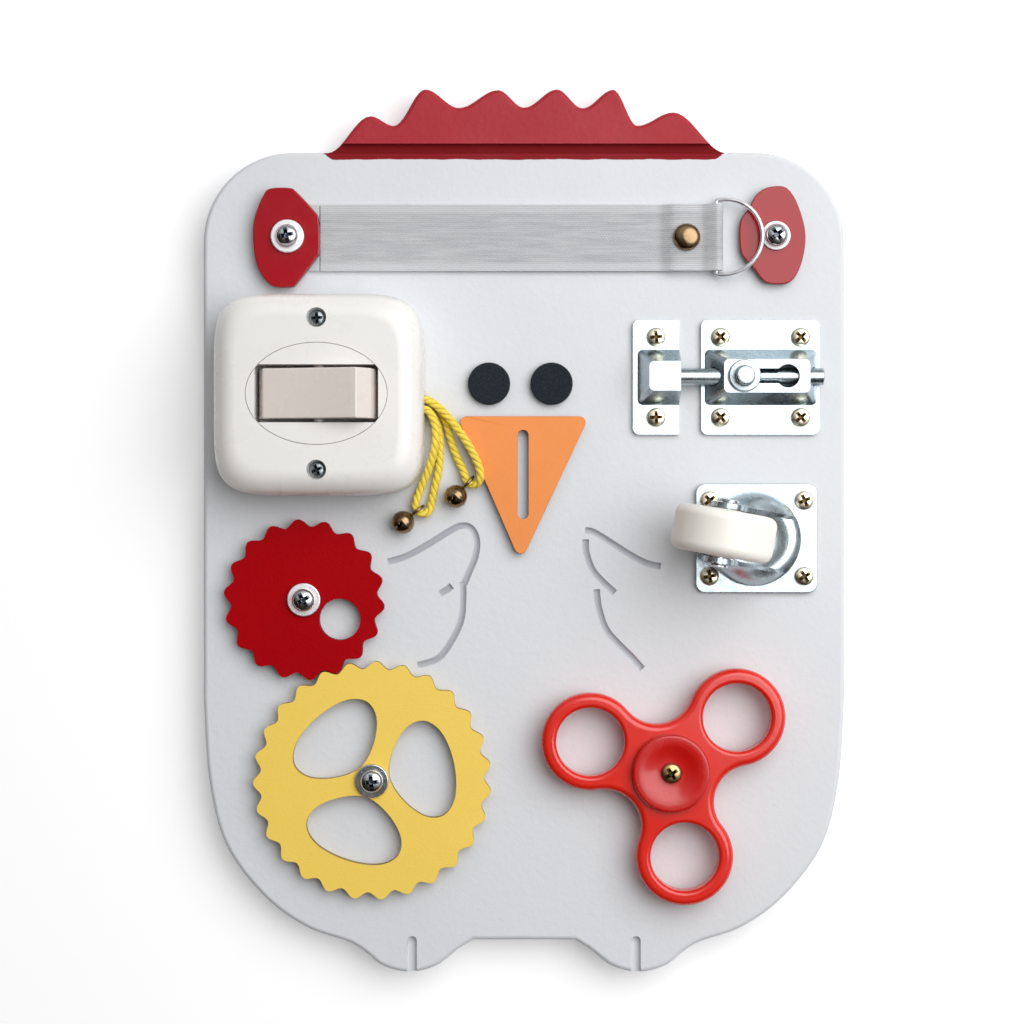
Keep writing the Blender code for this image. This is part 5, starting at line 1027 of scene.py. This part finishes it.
def make_strap():
    layer = STRAP_THICK + GAP
    loop = STRAP_THICK / 2 + GAP + 0.7
    tail_x = STRAP_BAR_X - 12.8
    step = 4.5
    start = STRAP_HINGE_X - STRAP_THICK / 2
    line = [(start + (tail_x - step - start) * i / 40, 0) for i in range(41)]
    line += [(tail_x - step / 2, layer / 2), (tail_x, layer), (STRAP_BAR_X - 8, layer)]
    line += [(STRAP_BAR_X - step, layer), (STRAP_BAR_X - step / 2, (layer + 2 * loop) / 2)]
    line += arc((STRAP_BAR_X, loop), loop, 90, -90, 8) + [(STRAP_BAR_X - 6, 0), (tail_x + GAP, 0)]
    strap = woven_strip("webbing_strap", shifted(smooth_line(line, 3), (0, STRAP_HEIGHT)), 0.12)
    fitted(strap, "strap", WEBBING, "strap", smooth=50)
    clamped = 16.5
    end = [(start - GAP - clamped + clamped * i / 24, STRAP_HEIGHT) for i in range(25)]
    fitted(woven_strip("webbing_end", end), "board", WEBBING, "strap_clamped_end", smooth=50)


def make_rivet():
    """A domed rivet with a rolled rim and a shank."""
    radius, height, rim, shank = 4.2, 2.3, 0.45, 1.5
    place, bottom, top = span("strap_rivet")
    head = top - bottom - height
    profile = [(0, 0), (shank, 0), (shank, head), (radius - 0.2, head), (radius, head + 0.15)]
    profile += arc((0, head + rim), (radius, height - rim), 0, 72, 8) + [(0, head + height)]
    rivet = moved(turned("domed_rivet", profile, 64), (*place, bottom))
    fitted(rivet, "strap", OLD_BRASS, "strap_rivet", smooth=50)


def make_ring():
    """A D of wire whose straight bar lies in the strap's fold."""
    thin, arm, corner = 0.7, 2.9, 1.0
    reach = STRAP_WIDTH / 2 + GAP + thin
    line = arc((corner, -reach + corner), corner, 180, 270, 6)
    line += arc((arm, 0), reach, -90, 90, 48) + arc((corner, reach - corner), corner, 90, 180, 6)
    ring = wire("wire_ring", [(x, y, 0) for x, y in line], thin, True, 6)
    moved(ring, turn=-16.0, axis="Y")
    moved(ring, (STRAP_BAR_X, STRAP_Y, STRAP_HEIGHT + STRAP_THICK / 2 + GAP + thin))
    fitted(ring, "d_ring", SATIN_STEEL, "d_ring", slot="zinc", smooth=60)


def make_small_plates():
    """The clamp's plate and the turn button, cut from thin board and painted."""
    for name, node, body, shares, place, screw_x in (
        ("clamp_plate", "strap_clamp_plate", "board", CLAMP_SHARES, (-73.8, STRAP_Y - GAP), -73.4),
        ("turn_plate", "turn_button", "turn_button", TURN_BUTTON_SHARES, (78.3, 91.7), 78.3),
    ):
        _, bottom, top = span(node)
        outline = smooth_line(shifted(sized(shares, 20.5, 30.8), place), 5, closed=True)
        made = plate(name, outline, bottom, top, [circle((screw_x, place[1]), SCREW_BORE, 32)], 0.4, 3)
        fitted(made, body, CRIMSON_PAINT, node)


# The switch

SWITCH = (-62.8, 41.6, FRONT + GAP)
SWITCH_WIDTH = 63.8
SWITCH_LENGTH = 61.5
SWITCH_HEIGHT = 22.7
SWITCH_WALL = 2.2
SWITCH_SQUARENESS = 5.5
COVER_SCREW_YS = (-23.0, 23.0)
COVER_SCREW_SINK = 3.6
BOSS_BOTTOM = SWITCH_HEIGHT - 6.5
ROCKER_PIVOT = (SWITCH[0], SWITCH[1], SWITCH[2] + SWITCH_HEIGHT - 6.5)
ROCKER_TILT = 12.0


def switch_outline(inset):
    return superellipse(SWITCH_WIDTH - 2 * inset, SWITCH_LENGTH - 2 * inset, SWITCH_SQUARENESS)


def shoulder_levels(bottom, top, radius, inset, steps):
    """Rounded-square outlines going up a wall and over a broad round shoulder."""
    levels = [(switch_outline(inset), bottom)]
    for x, height in arc((radius, top - radius), radius, 180, 90, steps):
        levels.append((switch_outline(inset + x), height))
    return levels


def make_switch_cover():
    """The moulded cover: a hollow shell with screw wells, an oval opening and a notch for the cords."""
    cover = lofted("switch_shell", shoulder_levels(0, SWITCH_HEIGHT, 7.5, 0, 10))
    hollow_top = SWITCH_HEIGHT - SWITCH_WALL
    combined(cover, [lofted("hollow", shoulder_levels(-OVERRUN, hollow_top, 5.3, SWITCH_WALL, 6))])
    boss, boss_length, bore, well_radius = 4.0, 5.5, 1.6, 3.0
    height = BOSS_BOTTOM + boss_length / 2
    combined(cover, [bar(boss, boss_length, (0, y, height)) for y in COVER_SCREW_YS], "UNION")
    floor, low, high = SWITCH_HEIGHT - COVER_SCREW_SINK, BOSS_BOTTOM - OVERRUN, SWITCH_HEIGHT + OVERRUN
    well = [(0, low), (bore, low), (bore, floor), (well_radius, floor), (well_radius, high), (0, high)]
    cutters = [moved(turned("well", well, 40), (0, y, 0)) for y in COVER_SCREW_YS]
    cutters.append(prism(superellipse(43.0, 31.0, 2), hollow_top - OVERRUN, high))
    wall_x, notch_y, notch_half, notch_height = SWITCH_WIDTH / 2, -2.1, 4.0, 6.2
    near = (wall_x - SWITCH_WALL - OVERRUN, notch_y - notch_half, -OVERRUN)
    cutters.append(block(near, (wall_x + OVERRUN, notch_y + notch_half, notch_height)))
    rounded(combined(cover, cutters), 0.2, 2, 50)
    fitted(moved(cover, SWITCH), "board", WHITE_PLASTIC, "switch_cover", smooth=40)


def make_switch_base():
    base = plate("switch_back", switch_outline(SWITCH_WALL + GAP), 0, 2.5)
    top = BOSS_BOTTOM - GAP
    posts = [bar(3.4, top - OVERRUN, (0, y, (top + OVERRUN) / 2), vertices=32) for y in COVER_SCREW_YS]
    combined(base, posts, "UNION")
    combined(base, [bar(1.6, top, (0, y, top / 2 + 2.5), vertices=24) for y in COVER_SCREW_YS])
    fitted(moved(base, SWITCH), "board", WHITE_PLASTIC, "switch_base")


def make_switch_module():
    """The oval insert with the pocket in which the rocker swings."""
    body_top = SWITCH_HEIGHT - SWITCH_WALL - GAP
    module = prism(superellipse(42.7, 30.7, 2), body_top - GAP, SWITCH_HEIGHT, "rocker_housing")
    combined(module, [prism(rounded_polygon(rectangle(41.6, 22.0), 2.0, 5), 2.8, body_top)], "UNION")
    pocket = rounded_polygon(rectangle(37.3, 17.5), 0.5, 4)
    combined(module, [prism(pocket, SWITCH_HEIGHT - 15.0, SWITCH_HEIGHT + OVERRUN)])
    combined(module, [bar(1.9, 24.0, (0, 0, BOSS_BOTTOM), ALONG_Y, 24)])
    rounded(module, 0.18, 2, 50)
    fitted(moved(module, SWITCH), "board", WHITE_PLASTIC, "switch_module")


def on_rocker(piece):
    """Tilts a piece with the rocker and puts it at the rocker's pivot."""
    moved(piece, turn=-ROCKER_TILT, axis="Y")
    return moved(piece, ROCKER_PIVOT)


def make_rocker():
    """The rocker, seen from its side, with its two pins, and the spring and plunger under it."""
    radius, height, half_x, half_y, skirt = 18.0, 9.3, 14.7, 7.6, 3.6
    side = arc((0, 0), radius, -math.degrees(math.asin(skirt / radius)), 12.0, 14) + [(half_x, height)]
    shares = (i / 6 for i in range(1, 7))
    crest = [(half_x * (1 - t), height - 0.5 * math.sin(math.pi / 2 * t)) for t in shares]
    left = [(-x, y) for x, y in reversed(side + crest[:-1])]
    rocker = moved(prism(side + crest + left, -half_y, half_y, "rocker_key"), turn=90, axis="X")
    rounded(rocker, 0.45, 3, 30)
    pin_radius, pin_y, well_radius, well_length = 1.6, 8.2, 2.3, 8.0
    combined(rocker, [bar(pin_radius, 4.0, (0, y, 0), ALONG_Y, 24) for y in (-pin_y, pin_y)], "UNION")
    combined(rocker, [bar(well_radius, well_length, (0, 0, -1.0), vertices=32)])
    fitted(on_rocker(rocker), "rocker", BEIGE_PLASTIC, "switch_rocker")
    steps, turns, low, length, coil_radius, wire_radius = 120, 6, -1.4, 3.8, 1.6, 0.28
    line = arc((0, 0), coil_radius, 0, 360 * turns, steps)
    coil = [(*point, low + length * i / steps) for i, point in enumerate(line)]
    spring = wire("coil_spring", coil, wire_radius, sides=2)
    fitted(on_rocker(spring), "rocker", STEEL, "rocker_spring", smooth=60)
    tip, top, thick = -8.2, -2.0, 1.9
    nose = arc((0, tip + thick), thick, -80, 0, 5)
    profile = [(0, tip)] + nose + [(thick, top - 0.3), (1.6, top), (0, top)]
    plunger = turned("spring_plunger", profile, 32)
    fitted(on_rocker(plunger), "rocker", GREY_PLASTIC, "rocker_plunger")


# The gears

GEAR_MODULE = 2.667
TOOTH_HEIGHT = 2.3
TOOTH_STEPS = 14
YELLOW_TEETH = 27
RED_TEETH = 18
GEAR_LINE_ANGLE = 110.6
YELLOW_TIP_ANGLE = 7.93
WINDOW_SHARES = (
    (0.21, 0.0), (0.32, 0.31), (0.54, 0.545), (0.77, 0.57), (0.94, 0.37), (1.0, 0.0),
    (0.94, -0.37), (0.77, -0.57), (0.54, -0.545), (0.32, -0.31),
)


def gear_outline(teeth, tip_angle):
    """A softly waved toothed edge: each tooth is one wave."""
    outline = []
    for i in range(teeth * TOOTH_STEPS):
        angle = math.radians(tip_angle) + math.tau * i / (teeth * TOOTH_STEPS)
        reach = GEAR_MODULE * teeth / 2 - 0.15 + TOOTH_HEIGHT / 2 * math.cos(math.tau * i / TOOTH_STEPS)
        outline.append((reach * math.cos(angle), reach * math.sin(angle)))
    return outline


def make_gears():
    window_reach, window_angle = 26.0, 11.5
    hole_distance, hole_angle, hole_radius = 12.67, -28.8, 6.4
    window = smooth_line(sized(WINDOW_SHARES, 2 * window_reach, 2 * window_reach), 6, closed=True)[::-1]
    windows = [turned_outline(window, window_angle + 120 * i) for i in range(3)]
    lead = (YELLOW_TIP_ANGLE - GEAR_LINE_ANGLE) % (360 / YELLOW_TEETH)
    red_tip = GEAR_LINE_ANGLE + 180 - lead * YELLOW_TEETH / RED_TEETH + 180 / RED_TEETH
    finger_hole = circle(arc((0, 0), hole_distance, hole_angle, 0, 1)[0], hole_radius, 56)
    for colour, outline, holes, material in (
        ("yellow", gear_outline(YELLOW_TEETH, YELLOW_TIP_ANGLE), windows, YELLOW_PAINT),
        ("red", gear_outline(RED_TEETH, red_tip), [finger_hole], RED_PAINT),
    ):
        node = colour + "_gear"
        place = span(node + "_spacer")[0]
        _, bottom, top = span(node)
        holes = [shifted(hole, place) for hole in [circle((0, 0), SCREW_BORE, 32)] + holes]
        gear = plate(colour + "_toothed_wheel", shifted(outline, place), bottom, top, holes)
        fitted(gear, node, material, node, smooth=40)


# The latch

LATCH_Y = 47.8
KNOB_X = 67.9
SHEET = 1.2
LATCH_RISE = 8.6
LATCH_WIDTH = 35.8
LATCH_HOLES = 25.0
HAT_WIDTH = 17.8
ROD_LIFT = 4.3
ROD_RADIUS = 2.7


def pressed_hat(name, sheet, foot, roof, holes):
    """A flat sheet with a hollow hat pressed up in it, its bends rounded, and its screw holes."""
    body = plate(name, sheet, 0, SHEET, edge=0)
    outside = [rounded_polygon(corners, 1.6, 6) for corners in (foot, roof)]
    combined(body, [lofted("hat", [(outside[0], SHEET / 2), (outside[1], LATCH_RISE)])], "UNION")
    inwards = rectangle(-2 * SHEET, -2 * SHEET)
    inside = []
    for corners in (foot, roof):
        corners = [(x + a, y + b) for (x, y), (a, b) in zip(corners, inwards)]
        inside.append(rounded_polygon(corners, 0.8, 6))
    levels = [(inside[0], -OVERRUN), (inside[0], 0.1), (inside[1], LATCH_RISE - SHEET)]
    combined(body, [lofted("under", levels)])
    return combined(body, [bar(1.65, 4, (x, y, 0), vertices=24) for x, y in holes])


def make_latch_body():
    middle_x = 73.7
    sheet = rounded_polygon(rectangle(37.0, LATCH_WIDTH), 2.0)
    foot, roof = rectangle(35.5, HAT_WIDTH), rectangle(26.6, 10.4, (1.25, 0))
    body = pressed_hat("latch_case", sheet, foot, roof, rectangle(LATCH_HOLES, LATCH_HOLES))
    slot_x, slot_half, slot_length, keyhole_radius = KNOB_X - middle_x, 2.25, 13.5, 3.6
    meet = 180 - math.degrees(math.asin(slot_half / keyhole_radius))
    keyhole = arc((slot_x + slot_length, 0), keyhole_radius, -meet, meet, 30)
    keyhole += arc((slot_x, 0), slot_half, 90, 270, 12)
    combined(body, [prism(keyhole, LATCH_RISE - 2 * SHEET, LATCH_RISE + OVERRUN)])
    combined(body, [bar(ROD_RADIUS + GAP, 42.0, (0, 0, ROD_LIFT), ALONG_X)])
    rounded(body, 0.3, 3, 35)
    fitted(moved(body, (middle_x, LATCH_Y, FRONT + GAP)), "board", ZINC, "latch_body", smooth=40)


def make_keeper():
    """The staple that takes the end of the bar: a short hat, closed at its left, open at its right."""
    middle_x = 41.15
    right, far, half = 7.25, 14.5, LATCH_WIDTH / 2
    beyond = far + OVERRUN
    left, top_left = 35.2 - middle_x, 38.6 - middle_x
    foot = rectangle(far - left, HAT_WIDTH, ((far + left) / 2, 0))
    roof = rectangle(far - top_left - SHEET, 9.2, ((far + top_left - SHEET) / 2, 0))
    sheet = rounded_polygon([(-right, -half), (beyond, -half), (beyond, half), (-right, half)], 2.0)
    holes = [(0, -LATCH_HOLES / 2), (0, LATCH_HOLES / 2)]
    keeper = pressed_hat("latch_staple", sheet, foot, roof, holes)
    low, high = (right, -20, -OVERRUN), (beyond + OVERRUN, 20, LATCH_RISE + OVERRUN)
    combined(keeper, [block(low, high)])
    rounded(keeper, 0.3, 3, 35)
    fitted(moved(keeper, (middle_x, LATCH_Y, FRONT + GAP)), "board", ZINC, "latch_keeper", smooth=40)


def make_latch_bar():
    left, right, soft = 41.6, 93.0, 0.5
    height = FRONT + GAP + ROD_LIFT
    edge = ROD_RADIUS - soft
    ends = arc((edge, left + soft), soft, -90, 0, 4) + arc((edge, right - soft), soft, 0, 90, 4)
    rod = moved(turned("latch_rod", [(0, left)] + ends + [(0, right)], 40), turn=90, axis="Y")
    moved(rod, (0, LATCH_Y, height))
    combined(rod, [bar(1.5, 3.4, (KNOB_X, LATCH_Y, height + 2.0), vertices=24)])
    rounded(rod, 0.12, 1, 50)
    fitted(rod, "latch_bar", ZINC, "latch_bar", smooth=40)
    floor, neck, disc = 0.3, ROD_RADIUS + GAP, LATCH_RISE - ROD_LIFT + 0.4
    peg, stem, disc_radius, disc_soft, button_soft = 1.2, 1.9, 4.5, 0.5, 0.8
    button = disc + 1.6
    top = button + 1.7
    profile = [(0, floor), (peg, floor), (peg, neck), (stem, neck), (stem, disc), (disc_radius + 0.2, disc)]
    profile += arc((disc_radius, disc + disc_soft), disc_soft, -60, 0, 4)
    profile += arc((disc_radius, button - disc_soft), disc_soft, 0, 80, 5)
    profile += [(3.5, button + 0.05), (3.1, button + 0.25)]
    profile += arc((2.3, top - button_soft), button_soft, 0, 80, 6) + [(1.2, top), (0, top)]
    knob = moved(turned("latch_thumb_knob", profile, 56), (KNOB_X, LATCH_Y, height))
    fitted(knob, "latch_bar", ZINC, "latch_knob", smooth=40)


# The caster

SWIVEL = (71.5, -2.6)
CASTER_DIRECTION = 170.0
CASTER_TRAIL = 11.5
CROWN_RADIUS = 14.6
FORK_SHEET = 1.5
FORK_GAP = 15.2
FORK_END_RADIUS = 5.0
WHEEL_RADIUS = 15.5
FORK_BOTTOM = FRONT + GAP + 1.6 + GAP
FORK_RIDGE = FORK_BOTTOM + FORK_SHEET + 1.6
AXLE_HEIGHT = FORK_RIDGE + 1.6 + WHEEL_RADIUS


def on_swivel(piece, place=(0, 0, 0)):
    """Moves a piece in the fork's own frame, then turns it with the fork and puts it at the swivel."""
    moved(piece, place)
    return moved(piece, (*SWIVEL, 0), CASTER_DIRECTION)


def make_caster_plate():
    place, corner, hole_radius, pin_hole = (72.5, -2.4), 3.0, 1.65, 3.3
    _, bottom, top = span("caster_plate")
    outline = shifted(rounded_polygon(rectangle(38.0, 34.0), corner, 10), place)
    holes = [circle(spot, hole_radius, 24) for spot in rectangle(29.5, 23.6, place)]
    holes.append(circle(SWIVEL, pin_hole, 40))
    fitted(plate("caster_top_plate", outline, bottom, top, holes, segments=3), "board", ZINC, "caster_plate")
    _, low, high = span("caster_kingpin")
    shank, head_radius, rim, dome = 3.0, 5.2, 0.3, 1.0
    head = high - low - rim - dome
    profile = [(0, 0), (shank, 0), (shank, head), (head_radius, head)]
    profile += arc((0, head + rim), (head_radius, dome), 0, 80, 8) + [(0, head + rim + dome)]
    pin = turned("caster_king_rivet", profile)
    fitted(moved(pin, (*SWIVEL, low)), "board", STEEL, "caster_kingpin")


def fork_leg(side):
    """One leg, swept from an arc of the crown up to a flat strip with a round end at the axle."""
    steps, across_steps = 14, 12
    low, bend_top = FORK_BOTTOM + FORK_SHEET, AXLE_HEIGHT - FORK_END_RADIUS
    arc_radius = CROWN_RADIUS - FORK_SHEET / 2
    strip_y = FORK_GAP / 2 + FORK_SHEET / 2
    levels = [(low + (bend_top - low) * i / steps, i / steps, 1.0) for i in range(steps + 1)]
    for share, height in arc((0, AXLE_HEIGHT), (1.0, FORK_END_RADIUS), 0, 80, 10):
        levels.append((height, 1.0, share))
    rings = []
    for height, climb, share in levels:
        blend = climb * climb * (3 - 2 * climb)
        rows = []
        for offset in (-FORK_SHEET / 2, FORK_SHEET / 2):
            row = []
            for i, spot in enumerate(arc((0, 0), arc_radius + offset, 38.0, 142.0, across_steps)):
                strip_x = CASTER_TRAIL + FORK_END_RADIUS * share * (1 - 2 * i / across_steps)
                spot = Vector(spot).lerp(Vector((strip_x, strip_y + offset)), blend)
                row.append((spot.x, side * spot.y))
            rows.append(row)
        ring = rows[0] + rows[1][::-1]
        rings.append((ring if side < 0 else ring[::-1], height))
    return lofted("leg", rings)


def make_fork():
    """The yoke: a turned crown with a dish for the kingpin's head, its legs, and its axle."""
    dish_top = FORK_BOTTOM + FORK_SHEET
    dish, slope = 9.4, 10.9
    under = FORK_RIDGE - FORK_SHEET
    rim = CROWN_RADIUS - FORK_SHEET
    foot = FORK_BOTTOM + GAP
    profile = [(3.3, FORK_BOTTOM), (dish + GAP, FORK_BOTTOM), (slope + GAP, under), (rim, under - 0.9)]
    profile += [(rim, foot), (CROWN_RADIUS, foot)]
    shoulder, drop = 3.6, 1.6
    for share in (i / 9 for i in range(10)):
        profile.append((CROWN_RADIUS - shoulder * share, FORK_RIDGE - drop * (1 - share) ** 2))
    radii = (10.5, 10.0, 9.5, 9.0, 8.5, 8.0, 7.4, 6.8, 6.2)
    falls = (0.02, 0.1, 0.3, 0.62, 0.94, 1.2, 1.42, 1.55, 1.6)
    profile += [(radius, FORK_RIDGE - fall) for radius, fall in zip(radii, falls)]
    profile += [(3.5, dish_top), (3.3, dish_top - 0.2)]
    fork = turned("caster_yoke", profile, 72)
    for side in (-1, 1):
        combined(fork, [fork_leg(side)], "UNION")
    combined(fork, [bar(2.3, 24, (CASTER_TRAIL, 0, AXLE_HEIGHT), ALONG_Y, 32)])
    rounded(fork, 0.2, 2, 50)
    fitted(on_swivel(fork), "caster_fork", ZINC, "caster_fork", smooth=40)
    seat = FORK_GAP / 2 + FORK_SHEET + GAP
    end = seat + 1.1
    half = [(2.0, seat), (3.1, seat), (3.2, seat + 0.15), (3.2, end - 0.4), (2.6, end - 0.1), (1.2, end)]
    axle = turned("caster_pin", [(0, -end)] + mirrored(half) + [(0, end)], 40)
    moved(axle, turn=90, axis="X")
    fitted(on_swivel(axle, (CASTER_TRAIL, 0, AXLE_HEIGHT)), "caster_fork", STEEL, "caster_axle")


def make_wheel():
    """A solid nylon wheel: rounded tread, sunk faces and a raised hub."""
    half, shoulder = 7.0, 3.0
    face, hub = half - 1.0, FORK_GAP / 2 - GAP
    rim = WHEEL_RADIUS - shoulder - 3.2
    side = [(2.3, hub - 0.2), (2.5, hub), (4.3, hub), (4.6, hub - 0.3), (4.7, face + 0.2), (5.0, face)]
    side += [(rim - 0.3, face), (rim + 0.4, face + 0.3), (rim + 0.9, half - 0.2), (rim + 1.4, half)]
    side += arc((WHEEL_RADIUS - shoulder, half - shoulder), shoulder, 90, 0, 10)
    wheel = turned("nylon_wheel", side + [(r, -h) for r, h in reversed(side)], 72)
    moved(wheel, turn=90, axis="X")
    on_swivel(wheel, (CASTER_TRAIL, 0, AXLE_HEIGHT))
    fitted(wheel, "caster_wheel", IVORY_NYLON, "caster_wheel", smooth=40)


# The spinner

SPINNER = (45.2, -74.5)
SPINNER_ANGLE = 39.4
SPINNER_THICK = 7.0
LOBE_DISTANCE = 26.5
LOBE_RADIUS = 15.1
LOBE_HOLE_RADIUS = 10.5
WAIST_RADIUS = 15.2
BALL_CIRCLE_RADIUS = 7.5
BALLS = 7


def spinner_outline():
    """Three round lobes, joined by hollows that are tangent to them."""
    d, r, w = LOBE_DISTANCE, LOBE_RADIUS, WAIST_RADIUS
    hollow_radius = (d * d + w * w - d * w - r * r) / (2 * r - 2 * w + d)
    hollow = Matrix.Rotation(math.radians(60), 2) @ Vector((w + hollow_radius, 0))
    towards = math.degrees(math.atan2(hollow.y, hollow.x - d))
    lobe = arc((d, 0), r, -towards, towards, 48)
    back = towards - 180
    hollows = arc(hollow, hollow_radius, back, back - 2 * (back + 120), 18)[1:-1]
    return [point for i in range(3) for point in turned_outline(lobe + hollows, 120 * i)]


def on_spinner(piece):
    _, bottom, _ = span("spinner_body")
    return moved(piece, (*SPINNER, bottom), SPINNER_ANGLE)


def make_spinner_body():
    body = prism(spinner_outline(), 0, SPINNER_THICK, "three_lobes")
    rounded(body, 2.2, 6, 40)
    flare, bearing_hole = 1.4, 11.3
    wide, low, high = LOBE_HOLE_RADIUS + flare, -OVERRUN, SPINNER_THICK + OVERRUN
    hole = [(0, low), (wide, low)] + arc((wide, flare), flare, -90, -180, 6)
    hole += arc((wide, SPINNER_THICK - flare), flare, 180, 90, 6) + [(wide, high), (0, high)]
    places = [turned_outline([(LOBE_DISTANCE, 0)], 120 * i)[0] for i in range(3)]
    cutters = [moved(turned("lobe hole", hole, 64), (*place, 0)) for place in places]
    middle = (0, 0, SPINNER_THICK / 2)
    combined(body, cutters + [bar(bearing_hole, SPINNER_THICK + 3 * OVERRUN, middle, vertices=64)])
    fitted(on_spinner(body), "spinner", RED_PLASTIC, "spinner_body", smooth=40)


def make_bearing():
    """The outer and inner rings with their grooves, and the balls in a riveted cage."""
    middle, top, soft = SPINNER_THICK / 2, SPINNER_THICK, 0.3
    bore, inner_edge, outer_edge, rim = 4.0, 5.8, 9.2, 11.0
    groove = (0.5, 1.6)
    outer = [(outer_edge, 0), (rim - soft, 0), (rim, soft), (rim, top - soft), (rim - soft, top)]
    outer += [(outer_edge, top)] + arc((outer_edge, middle), groove, 90, -90, 9)
    ring = turned("bearing_outer_race", outer, 72)
    fitted(on_spinner(ring), "spinner", STEEL, "bearing_outer_ring")
    inner = [(bore, soft), (bore + soft, 0), (inner_edge, 0)]
    inner += arc((inner_edge, middle), groove, -90, -270, 9)
    inner += [(inner_edge, top), (bore + soft, top), (bore, top - soft)]
    ring = turned("bearing_inner_race", inner, 56)
    fitted(moved(ring, (*SPINNER, span("spinner_body")[1])), "board", STEEL, "bearing_inner_ring")
    wave, inside = [], []
    for i, (x, y) in enumerate(circle((0, 0), 1.0, 16 * BALLS)):
        swell = 0.35 + 0.75 * max(0.0, math.cos(math.tau * i / 16)) ** 0.5
        wave.append(((BALL_CIRCLE_RADIUS + swell) * x, (BALL_CIRCLE_RADIUS + swell) * y))
        inside.append(((BALL_CIRCLE_RADIUS - swell) * x, (BALL_CIRCLE_RADIUS - swell) * y))
    half_cage, ball_radius = 0.9, 1.75
    cage = plate("bearing_balls", wave, middle - half_cage, middle + half_cage, [inside], 0)
    spots = circle((0, 0), BALL_CIRCLE_RADIUS, BALLS)
    balls = [ball(ball_radius, (*spot, middle), 20, 12) for spot in spots]
    fitted(on_spinner(together([cage] + balls)), "spinner", STEEL, "bearing_ball_cage")


def make_cap():
    """The fixed cap, dished for a fingertip."""
    place, bottom, top = span("spinner_cap")
    thick = top - bottom
    rim, lip, floor, seat = 12.0, 0.9, 0.8, 5.8
    dish, well, dish_depth = 9.6, 3.35, 1.3
    profile = [(SCREW_BORE, 0), (seat, 0), (seat, GAP), (rim - 0.2, GAP), (rim, GAP + 0.2)]
    profile += arc((rim - lip, thick - lip), lip, 0, 90, 8)
    profile += [(dish + 0.6, thick), (dish + 0.2, thick - 0.03)]
    for share in (i / 10 for i in range(1, 11)):
        fall = dish_depth * math.sin(math.pi / 2 * share) ** 1.4
        profile.append((dish + (well - dish) * share, thick - fall))
    cap = turned("dished_cap", profile + [(well, floor), (SCREW_BORE, floor)], 72)
    fitted(moved(cap, (*place, bottom)), "board", DEEP_RED_PLASTIC, "spinner_cap", smooth=40)


# Camera, floor, light and background

def linked(name, data, place):
    """A camera or lamp put into the scene."""
    made = bpy.data.objects.new(name, data)
    made.location = place
    bpy.context.scene.collection.objects.link(made)
    return made


def make_camera():
    data = bpy.data.cameras.new("camera")
    data.lens = 73.1
    data.sensor_width = 36.0
    bpy.context.scene.camera = linked("camera", data, metres(-3.75, 5.8, 662))


def make_floor():
    """A pale floor that shows white but keeps the board's shadow."""
    free()
    bpy.ops.mesh.primitive_plane_add(size=8.0, location=(0, 0, -GAP * MM))
    floor = bpy.context.active_object
    floor.name = "floor"
    finish = Finish("pale floor")
    rays = new_node(finish.tree, "LightPath").outputs
    kinds = ("Camera", "Glossy", "Transmission")
    camera, glossy, through = (Value(rays[f"Is {kind} Ray"]) for kind in kinds)
    floor.data.materials.append(finish.done({
        "Base Color": finish.effect("tone drift", Color=(0.86, 0.86, 0.87, 1), Scale=3.0, Amount=0.01),
        "Roughness": 0.9,
        "Emission Color": WHITE,
        "Emission Strength": (camera.step("MAXIMUM", glossy) + through) * 0.3,
    }))


def make_light():
    """A pale room, darker and browner towards the lower left, and one broad lamp to the upper right."""
    world = bpy.data.worlds.new("studio")
    world.use_nodes = True
    bpy.context.scene.world = world
    tree = world.node_tree
    x, y, z = Value(new_node(tree, "TexCoord").outputs["Generated"]).xyz()
    seen = Value(new_node(tree, "LightPath").outputs["Is Camera Ray"])
    slant = x * 0.6 + y
    glow = z.ramp(0.05, 0.9, 0.12, 0.75) * z.ramp(0.92, 0.99, 1.0, 0.35) * slant.ramp(-0.8, 0.8, 0.1, 1.3)
    tint = slant.ramp(-0.7, 0.1).blend((0.62, 0.46, 0.37, 1), (0.97, 0.985, 1.0, 1))
    background = tree.nodes["Background"].inputs
    feed(background["Color"], seen.blend(tint, WHITE))
    feed(background["Strength"], glow.step("MAXIMUM", seen))
    data = bpy.data.lights.new("broad lamp", "AREA")
    data.shape = "DISK"
    data.size = 0.9
    data.energy = 5.2
    place = Vector((0.34, 0.2, 0.62))
    lamp = linked("broad lamp", data, place)
    lamp.rotation_euler = (-place).to_track_quat("-Z", "Y").to_euler()
    lamp.visible_camera = False


for make in (
    make_camera, make_cords, make_board, make_eyes, make_beak, make_all_screws, make_washers, make_strap,
    make_rivet, make_ring, make_small_plates, make_switch_cover, make_switch_base, make_switch_module,
    make_rocker, make_gears, make_latch_body, make_keeper, make_latch_bar, make_caster_plate, make_fork,
    make_wheel, make_spinner_body, make_bearing, make_cap, make_floor, make_light,
):
    make()

bpy.context.scene.view_settings.view_transform = "Standard"
